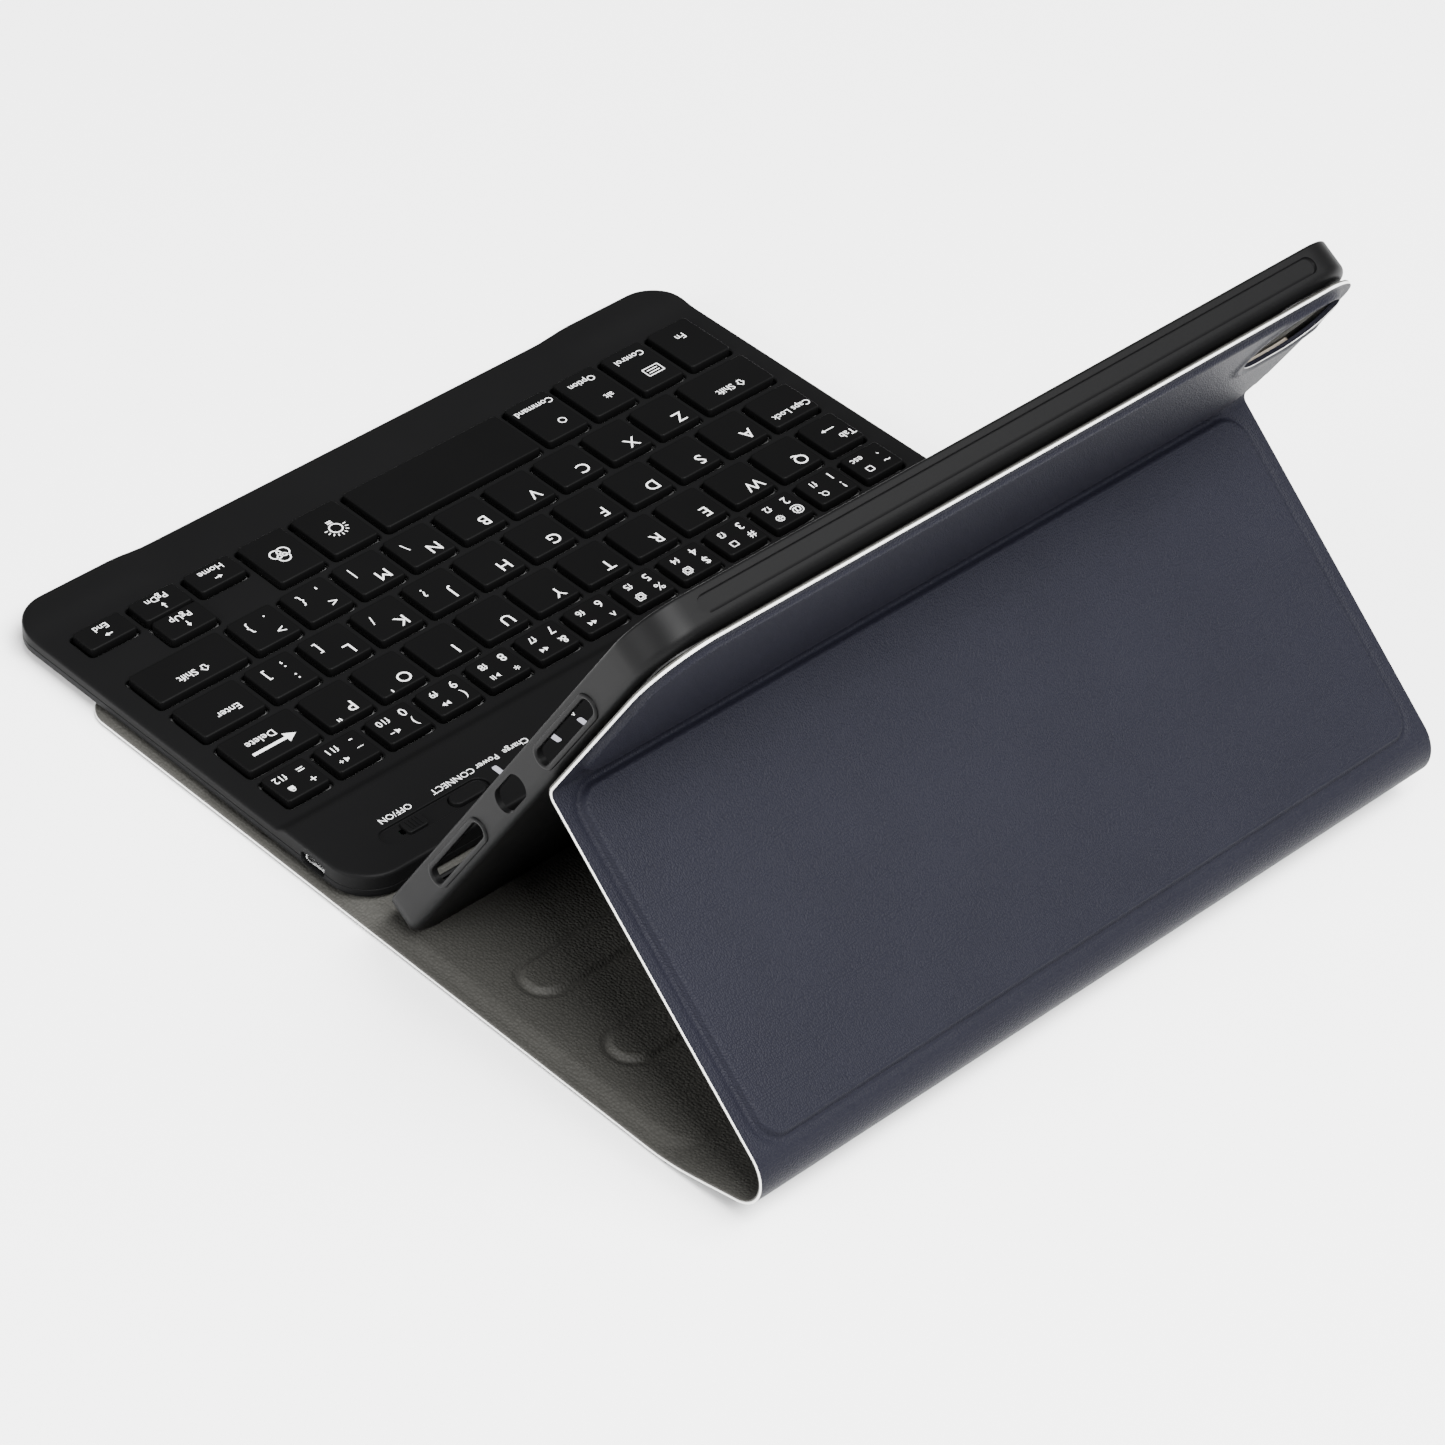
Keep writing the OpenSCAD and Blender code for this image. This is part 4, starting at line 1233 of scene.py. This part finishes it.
class Pen:
    """Draws thin printed marks; all measures are in millimetres, counted from the pen's middle."""

    def __init__(self, height):
        self.height = height
        self.middle = (0.0, 0.0)
        self.marks = []

    def at(self, middle):
        self.middle = middle[:2]
        return self

    def print_on(self, name, body):
        """Joins the marks into one piece on a body."""
        piece = join(name, self.marks)
        self.marks = []
        piece.data.materials.clear()
        piece.data.materials.append(legend_paint())
        piece.data.polygons.foreach_set("material_index", [0] * len(piece.data.polygons))
        attach(on_keyboard(piece), body, "legend_ink")

    def word(self, text, size, dx, dy):
        curve = bpy.data.curves.new("word", "FONT")
        curve.body = text
        curve.size = size * MM
        curve.align_x = "CENTER"
        curve.align_y = "CENTER"
        curve.extrude = PRINT_HALF
        curve.resolution_u = 3
        obj = link_object("word", curve)
        bpy.context.view_layer.update()
        mesh = bpy.data.meshes.new_from_object(obj)
        bpy.data.objects.remove(obj)
        bpy.data.curves.remove(curve)
        x, y = self.middle
        self.marks.append(moved(link_object("word", mesh), x + dx * MM, y + dy * MM, self.height))

    def shape(self, points, dx=0.0, dy=0.0):
        """Filled polygon."""
        x, y = self.middle[0] + dx * MM, self.middle[1] + dy * MM
        n = len(points)
        vertices = [
            (x + px * MM, y + py * MM, self.height + half)
            for half in (-PRINT_HALF, PRINT_HALF) for px, py in points
        ]
        faces = [tuple(range(n))[::-1], tuple(range(n, 2 * n))]
        faces += [(i, (i + 1) % n, n + (i + 1) % n, n + i) for i in range(n)]
        self.marks.append(make_body("mark", vertices, faces, [], None))

    def stroke(self, x0, y0, x1, y1, thick, dx=0.0, dy=0.0):
        along = unit(np.array([x1 - x0, y1 - y0]))
        nx, ny = np.array([-along[1], along[0]]) * thick / 2
        self.shape([(x0 + nx, y0 + ny), (x0 - nx, y0 - ny), (x1 - nx, y1 - ny), (x1 + nx, y1 + ny)], dx, dy)

    def outline(self, corners, thick, dx=0.0, dy=0.0):
        """Strokes round a polygon."""
        for a, b in zip(corners, corners[1:] + corners[:1]):
            self.stroke(*a, *b, thick, dx, dy)

    def ring(self, radius, thick, dx, dy, count, end=2 * math.pi):
        """Ring or arc of short strokes."""
        points = [(radius * math.cos(a), radius * math.sin(a)) for a in np.linspace(0, end, count + 1)]
        for a, b in zip(points, points[1:]):
            self.stroke(*a, *b, thick, dx, dy)

    def arrow(self, length, thick, head, degrees, dx, dy):
        h, t, wing = length / 2, thick / 2, head * 0.6
        neck = h - head
        corners = [(-h, t), (-h, -t), (neck, -t), (neck, -wing), (h, 0), (neck, wing), (neck, t)]
        c, s = math.cos(math.radians(degrees)), math.sin(math.radians(degrees))
        self.shape([(c * px - s * py, s * px + c * py) for px, py in corners], dx, dy)

    def shift_sign(self, dx, dy):
        half = [(0.6, 0.1), (0.6, -1.1)]
        left = [(-px, py) for px, py in reversed(half)]
        self.outline([(0, 1.5), (1.3, 0.1), *half, *left, (-1.3, 0.1)], 0.3, dx, dy)

    def icon(self, kind, dx, dy):
        """Plain sign of a number key's second function."""
        u, thick = 1.3, 0.32
        if kind == "ring":
            self.ring(0.75 * u, thick, dx, dy, 12)
            self.stroke(0.5 * u, -0.5 * u, 1.1 * u, -1.1 * u, thick, dx, dy)
        elif kind == "globe":
            self.ring(0.95 * u, thick, dx, dy, 14)
            self.stroke(-0.9 * u, 0, 0.9 * u, 0, thick, dx, dy)
            self.stroke(0, -0.9 * u, 0, 0.9 * u, thick, dx, dy)
        elif kind in ("frame", "frames"):
            for shift in (0, 0.5)[:1 if kind == "frame" else 2]:
                low, high = (shift - 0.8) * u, (shift + 0.8) * u
                self.outline([(low, low), (high, low), (high, high), (low, high)], thick, dx, dy)
        elif kind in ("back", "play", "next"):
            way = -1 if kind == "back" else 1
            for o in (-0.6, 0.5)[:1 if kind == "play" else 2]:
                base, tip = way * (o - 0.5) * u, way * (o + 0.5) * u
                self.shape([(base, 0.7 * u), (base, -0.7 * u), (tip, 0)][::way], dx, dy)
            for o in (0.4, 1.0) if kind == "play" else ():
                self.stroke(o * u, -0.7 * u, o * u, 0.7 * u, thick, dx, dy)
        elif kind == "lock":
            case = [(-0.7, -0.9), (0.7, -0.9), (0.7, 0.2), (-0.7, 0.2)]
            self.shape([(px * u, py * u) for px, py in case], dx, dy)
            self.ring(0.45 * u, thick, dx, dy + 0.25 * u, 8, math.pi)
        else:
            horn = [(-1.2, 0.3), (-1.2, -0.3), (-0.8, -0.3), (-0.2, -0.8), (-0.2, 0.8), (-0.8, 0.3)]
            self.shape([(px * u, py * u) for px, py in horn], dx, dy)
            self.stroke(0.3 * u, 0, 1.3 * u, 0, thick, dx, dy)
            if kind == "louder":
                self.stroke(0.8 * u, -0.5 * u, 0.8 * u, 0.5 * u, thick, dx, dy)


NUMBER_LEGENDS = (
    ("~", "`", "esc", "frame"), ("!", "1", "f1", "ring"), ("@", "2", "f2", "globe"),
    ("#", "3", "f3", "frame"), ("$", "4", "f4", "frames"), ("%", "5", "f5", "frames"),
    ("^", "6", "f6", "back"), ("&", "7", "f7", "back"), ("*", "8", "f8", "play"),
    ("(", "9", "f9", "next"), (")", "0", "f10", "softer"), ("_", "-", "f11", "louder"),
    ("+", "=", "f12", "lock"),
)
LETTER_LEGENDS = {
    "upper_row_keys": ("Q", "W", "E", "R", "T", "Y", "U", "I", "O'", "P\""),
    "home_row_keys": ("A", "S", "D", "F", "G", "H", "J?", "K/", "L[", ":;]"),
    "lower_row_keys": ("Z", "X", "C", "V", "B", "N\\", "M|", "<,{", ">.}"),
}
SMALL, MIDDLE = 3.4, 3.7
SINGLE_WORDS = {
    "tab_key": (("Tab", MIDDLE, -3.4, 3.4),),
    "caps_lock_key": (("Caps Lock", SMALL, -0.6, 3.6),),
    "left_shift_key": (("Shift", MIDDLE, 2.6, 2.8),),
    "right_shift_key": (("Shift", MIDDLE, 2.6, 2.8),),
    "fn_key": (("Fn", MIDDLE, 0, -3.6),),
    "control_key": (("Control", SMALL, 0, -5.6),),
    "option_key": (("Option", SMALL, 0, -5.6), ("alt", SMALL, -2.0, 4.4)),
    "command_key": (("Command", SMALL, 0, -5.6),),
    "light_key": (),
    "colour_key": (),
    "home_key": (("Home", SMALL, 0, -1.9),),
    "end_key": (("End", SMALL, 0, -1.9),),
    "page_up_key": (("PgUp", SMALL, 0, -1.9),),
    "page_down_key": (("PgDn", SMALL, 0, -1.9),),
    "enter_key": (("Enter", MIDDLE, -1.4, 2.6),),
    "delete_key": (("Delete", MIDDLE, 1.5, -1.6),),
}
SINGLE_ARROWS = {
    "tab_key": (5, 0.35, 1.2, 0, 0, -1.4),
    "home_key": (2.6, 0.4, 1.2, 180, 0, 1.9),
    "end_key": (2.6, 0.4, 1.2, 0, 0, 1.9),
    "page_up_key": (2.6, 0.4, 1.2, 90, 0, 1.9),
    "page_down_key": (2.6, 0.4, 1.2, -90, 0, 1.9),
    "delete_key": (15, 1.1, 3.4, 180, 0, 2.6),
}


class CASE_OT_legends(bpy.types.Operator):
    """Printed letters, digits and plain signs on the keys and beside the controls"""
    bl_idname = "case.legends"
    bl_label = "Legends"

    def execute(self, context):
        pen = Pen(KEY_PRINT)
        for rect, (shifted, plain, second, icon) in zip(row_rects("number_row_keys", 13), NUMBER_LEGENDS):
            pen.at(rect)
            pen.word(shifted, 4.3, -3.8, 2.8)
            pen.word(plain, 4.5, -3.6, -2.6)
            pen.word(second, 3.5, 3.4, -2.7)
            pen.icon(icon, 3.2, 2.7)
        pen.print_on("number_row_legends", "number_row_keys_body")
        for node, letters in LETTER_LEGENDS.items():
            for rect, text in zip(row_rects(node, len(letters)), letters):
                pen.at(rect)
                first = (-3.0, 3.8) if len(text) == 3 else (-2.4, 3.6)
                second = (4.0, 5.0) if text[-1] in "'\"" else (4.2, -1.6)
                places = (first, second) if len(text) < 3 else (first, (-3.0, -2.4), (3.6, -1.8))
                for glyph, spot in zip(text, places):
                    pen.word(glyph, 6.0 if glyph.isalpha() else 5.0, *spot)
            pen.print_on(node.replace("_keys", "_legends"), node + "_body")
        for node, words in SINGLE_WORDS.items():
            pen.at(key_rect(node))
            for text in words:
                pen.word(*text)
            if node in SINGLE_ARROWS:
                pen.arrow(*SINGLE_ARROWS[node])
            self.signs(pen, node)
            pen.print_on(node.replace("_key", "_legend"), node + "_body")
        self.strip_legends()
        return {"FINISHED"}

    @staticmethod
    def signs(pen, node):
        """Signs that are neither words nor arrows."""
        if "shift" in node:
            pen.shift_sign(-3.2, 3.0)
        elif node == "control_key":
            pen.outline([(-3, -1.8), (3, -1.8), (3, 1.8), (-3, 1.8)], 0.35, -1.4, 3.6)
            for y in (0.6, -0.6):
                pen.stroke(-2, y, 2, y, 0.35, -1.4, 3.6)
        elif node == "command_key":
            pen.ring(1.2, 0.35, -2.2, 4.6, 12)
        elif node == "light_key":
            pen.ring(2.0, 0.45, 0, 0.8, 22)
            for y in (0, -0.8):
                pen.stroke(-0.9, y, 0.9, y, 0.45, 0, -2.0)
            for k in range(9):
                turn = math.pi * (k - 0.25) / 7.5
                c, s = math.cos(turn), math.sin(turn)
                pen.stroke(2.8 * c, 2.8 * s, 3.8 * c, 3.8 * s, 0.35, 0, 0.8)
        elif node == "colour_key":
            for k in range(3):
                turn = math.pi / 2 + 2.094 * k
                pen.ring(1.9, 0.45, 1.45 * math.cos(turn), 1.45 * math.sin(turn), 22)

    @staticmethod
    def strip_legends():
        """Small plain words over the switch, the button and the lights."""
        button, slider = control_measures()
        pen = Pen(STRIP_PRINT)
        pen.at((slider.x + 1.5 * MM, button.y)).word("OFF/ON", 3.1, 0, -6.2)
        pen.at((button.x, button.y)).word("CONNECT", 3.1, 0, -6.2)
        for (x, _), label in zip(window_places(), ("A", "*", "Charge", "Power")):
            pen.at((x, button.y)).word(label, 3.0, 0, -6.2)
        pen.print_on("strip_legends", "keyboard")


# ---------------------------------------------------------------- controls and inside parts

class CASE_OT_controls(bpy.types.Operator):
    """Power slider with its grip ribs, and the connect button"""
    bl_idname = "case.controls"
    bl_label = "Controls"

    def execute(self, context):
        plastic = case_plastic()
        button, slider = control_measures()
        rings = [(0, 5.3 * MM), (0, 7.9 * MM)] + quarter(0, 8.0 * MM, 0.5 * MM, 8.5 * MM, 4, "up")
        cap = rounded_body("button_cap", 12 * MM, 5 * MM, 2.4 * MM, rings, [plastic], arc=8)
        flange = prism("flange", 13.4, 6.4, 3.1, 5.2, 5.85, plastic, arc=8)
        rings = [(0, 7.42 * MM), (0, 7.9 * MM)] + quarter(0, 8.0 * MM, 0.35 * MM, 8.35 * MM, 3, "up")
        knob = rounded_body("knob", 7 * MM, 5 * MM, 1.0 * MM, rings, [plastic], arc=4)
        stem = prism("stem", 2.8, 1.8, 0.3, 5.15, 7.8, plastic, arc=3)
        foot = prism("foot", 5.2, 4, 0.4, 5.1, 6.1, plastic, arc=3)
        rings = [(0, 8.2 * MM), (0.05 * MM, 8.6 * MM)]
        rib = rounded_body("rib", 0.5 * MM, 3.6 * MM, 0.2 * MM, rings, [plastic], arc=3)
        ribs = row_of("ribs", rib, 4, (-1.8 * MM, 0, 0), (1.2 * MM, 0, 0), plastic)
        for name, parts, middle, node in (
            ("connect_button_cap", [cap, flange], button, "connect_button"),
            ("power_slider_knob", [knob, stem, foot, ribs], slider, "power_slider"),
        ):
            piece = on_keyboard(join(name, parts), middle.x, middle.y)
            finish_shading(piece, 40)
            attach(piece, node + "_body", "case_plastic", node)
        return {"FINISHED"}


class CASE_OT_small_parts(bpy.types.Operator):
    """Feet and case screws under the keyboard, and finishes for the parts inside"""
    bl_idname = "case.small_parts"
    bl_label = "Small and inside parts"

    def execute(self, context):
        rubber = surface("foot_rubber", (0.03, 0.03, 0.03), 0.8, bump=0.3, bump_height=0.05 * MM)
        steel = surface("screw_steel", (0.55, 0.55, 0.55), 0.32, metallic=1.0,
                        bump=0.1, bump_height=0.01 * MM, tone=0.06)
        low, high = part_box("keyboard_feet")
        rows = []
        for y in (low.y + 3 * MM, high.y - 3 * MM):
            rings = [(0.2 * MM, 0.02 * MM), (0, 0.2 * MM), (0, 0.6 * MM)]
            pad = rounded_body("pad", 14 * MM, 6 * MM, 2.9 * MM, rings, [rubber], arc=6)
            start, step = (low.x + 7 * MM, y, low.z), (high.x - low.x - 14 * MM, 0, 0)
            rows.append(row_of("pads", pad, 2, start, step, rubber))
        feet = join("rubber_feet", rows)
        finish_shading(feet, 50)
        attach(feet, "keyboard", "rubber", "keyboard_feet")
        finishes = {
            "case_screws": steel,
            "support_plate": surface("plate_steel", (0.45, 0.45, 0.46), 0.4, metallic=1.0, tone=0.08),
            "charging_socket": surface("socket_steel", (0.7, 0.7, 0.7), 0.25, metallic=1.0, tone=0.04),
            "control_board": surface("solder_mask", (0.01, 0.09, 0.035), 0.35, coat=0.3, tone=0.15),
            "circuit_sheet": surface("printed_film", (0.35, 0.42, 0.38), 0.35, tone=0.15),
            "dome_sheet": surface("dome_silicone", (0.10, 0.10, 0.10), 0.5, tone=0.1),
            "scissor_frames": surface("scissor_plastic", (0.02, 0.02, 0.02), 0.4, tone=0.1),
            "battery": surface("cell_foil", (0.55, 0.57, 0.6), 0.35, metallic=0.9, tone=0.1),
            "slide_switch": steel,
            "tact_switch": steel,
            "status_leds": surface("led_resin", (0.8, 0.8, 0.75), 0.3, tone=0.05),
            "led_windows": surface("window_resin", (0.22, 0.22, 0.25), 0.25, tone=0.06),
            "tray_adhesive": surface("adhesive_film", (0.006, 0.006, 0.006), 0.6, tone=0.08),
        }
        nickel = surface("magnet_nickel", (0.6, 0.6, 0.58), 0.25, metallic=1.0, tone=0.05)
        for node in ("flap_magnets", "dock_magnets", "keyboard_magnets"):
            finishes[node] = nickel
        for node in ("base_board", "wrap_board", "flap_board", "stop_strips"):
            finishes[node] = greyboard()
        for node, material in finishes.items():
            mesh = frame["nodes"][node].data
            mesh.materials.clear()
            mesh.materials.append(material)
        return {"FINISHED"}


# ---------------------------------------------------------------- stage

class CASE_OT_stage(bpy.types.Operator):
    """Pale floor, soft lights and the camera"""
    bl_idname = "case.stage"
    bl_label = "Stage"

    def execute(self, context):
        scene = context.scene
        stage = settings("stage")
        bpy.ops.mesh.primitive_plane_add(size=8, location=(0, 0, -0.0002))
        floor = context.object
        floor.name = "floor"
        floor.data.materials.append(surface("floor_paper", (0.90, 0.90, 0.90), 0.9, bump=0.02, tone=0.01))
        world = bpy.data.worlds.new("studio")
        world.use_nodes = True
        world.node_tree.nodes["Background"].inputs[0].default_value = (1, 1, 1, 1)
        world.node_tree.nodes["Background"].inputs[1].default_value = 0.26
        scene.world = world
        self.lamp("key", (0.5, 2.3, 3.5), 2.4, 820)
        self.lamp("side", (3.0, -0.2, 1.1), 1.8, 190)
        self.lamp("top", (-1.2, 1.6, 3.8), 2.6, 350)
        azimuth, elevation, roll = stage.azimuth, stage.elevation, stage.roll
        flat = math.cos(elevation)
        back = Vector((math.sin(azimuth) * flat, -math.cos(azimuth) * flat, math.sin(elevation)))
        right = Vector((0, 0, 1)).cross(back).normalized()
        up = back.cross(right)
        turned_right = math.cos(roll) * right + math.sin(roll) * up
        turned_up = -math.sin(roll) * right + math.cos(roll) * up
        camera = bpy.data.cameras.new("camera")
        camera.sensor_width = 36
        camera.lens = stage.lens
        camera.clip_start = 0.01
        holder = link_object("camera", camera)
        foot = Vector((0, BASE_FOLD[0] - 0.128, 0))
        rotation = Matrix((turned_right, turned_up, back)).transposed().to_4x4()
        holder.matrix_world = Matrix.Translation(Vector(stage.place) + foot) @ rotation
        scene.camera = holder
        return {"FINISHED"}

    @staticmethod
    def lamp(name, place_at, size, power):
        light = bpy.data.lights.new(name, "AREA")
        light.shape = "SQUARE"
        light.size = size
        light.energy = power
        holder = link_object(name, light)
        holder.location = place_at
        aim = Vector((0, 0, 0.05)) - Vector(place_at)
        holder.rotation_euler = aim.to_track_quat("-Z", "Y").to_euler()


# ---------------------------------------------------------------- panel and registration

class CASE_PT_panel(bpy.types.Panel):
    bl_label = "Tablet keyboard case"
    bl_idname = "CASE_PT_panel"
    bl_space_type = "VIEW_3D"
    bl_region_type = "UI"
    bl_category = "Case"

    def draw(self, context):
        for operator in OPERATORS:
            self.layout.operator(operator.bl_idname)


OPERATORS = (
    CASE_OT_cover, CASE_OT_folds, CASE_OT_tray, CASE_OT_keyboard_case, CASE_OT_keys,
    CASE_OT_legends, CASE_OT_controls, CASE_OT_small_parts, CASE_OT_stage,
)
GROUPS = {
    "cover": CoverSettings, "tray": TraySettings,
    "keyboard": KeyboardSettings, "stage": StageSettings,
}


def register():
    for kind in (*GROUPS.values(), *OPERATORS, CASE_PT_panel):
        bpy.utils.register_class(kind)
    for name, kind in GROUPS.items():
        setattr(bpy.types.Scene, "case_" + name, bpy.props.PointerProperty(type=kind))


def unregister():
    for name in GROUPS:
        delattr(bpy.types.Scene, "case_" + name)
    for kind in reversed((*GROUPS.values(), *OPERATORS, CASE_PT_panel)):
        bpy.utils.unregister_class(kind)


def main():
    register()
    for operator in OPERATORS:
        group, name = operator.bl_idname.split(".")
        getattr(getattr(bpy.ops, group), name)()


if __name__ == "__main__":
    main()
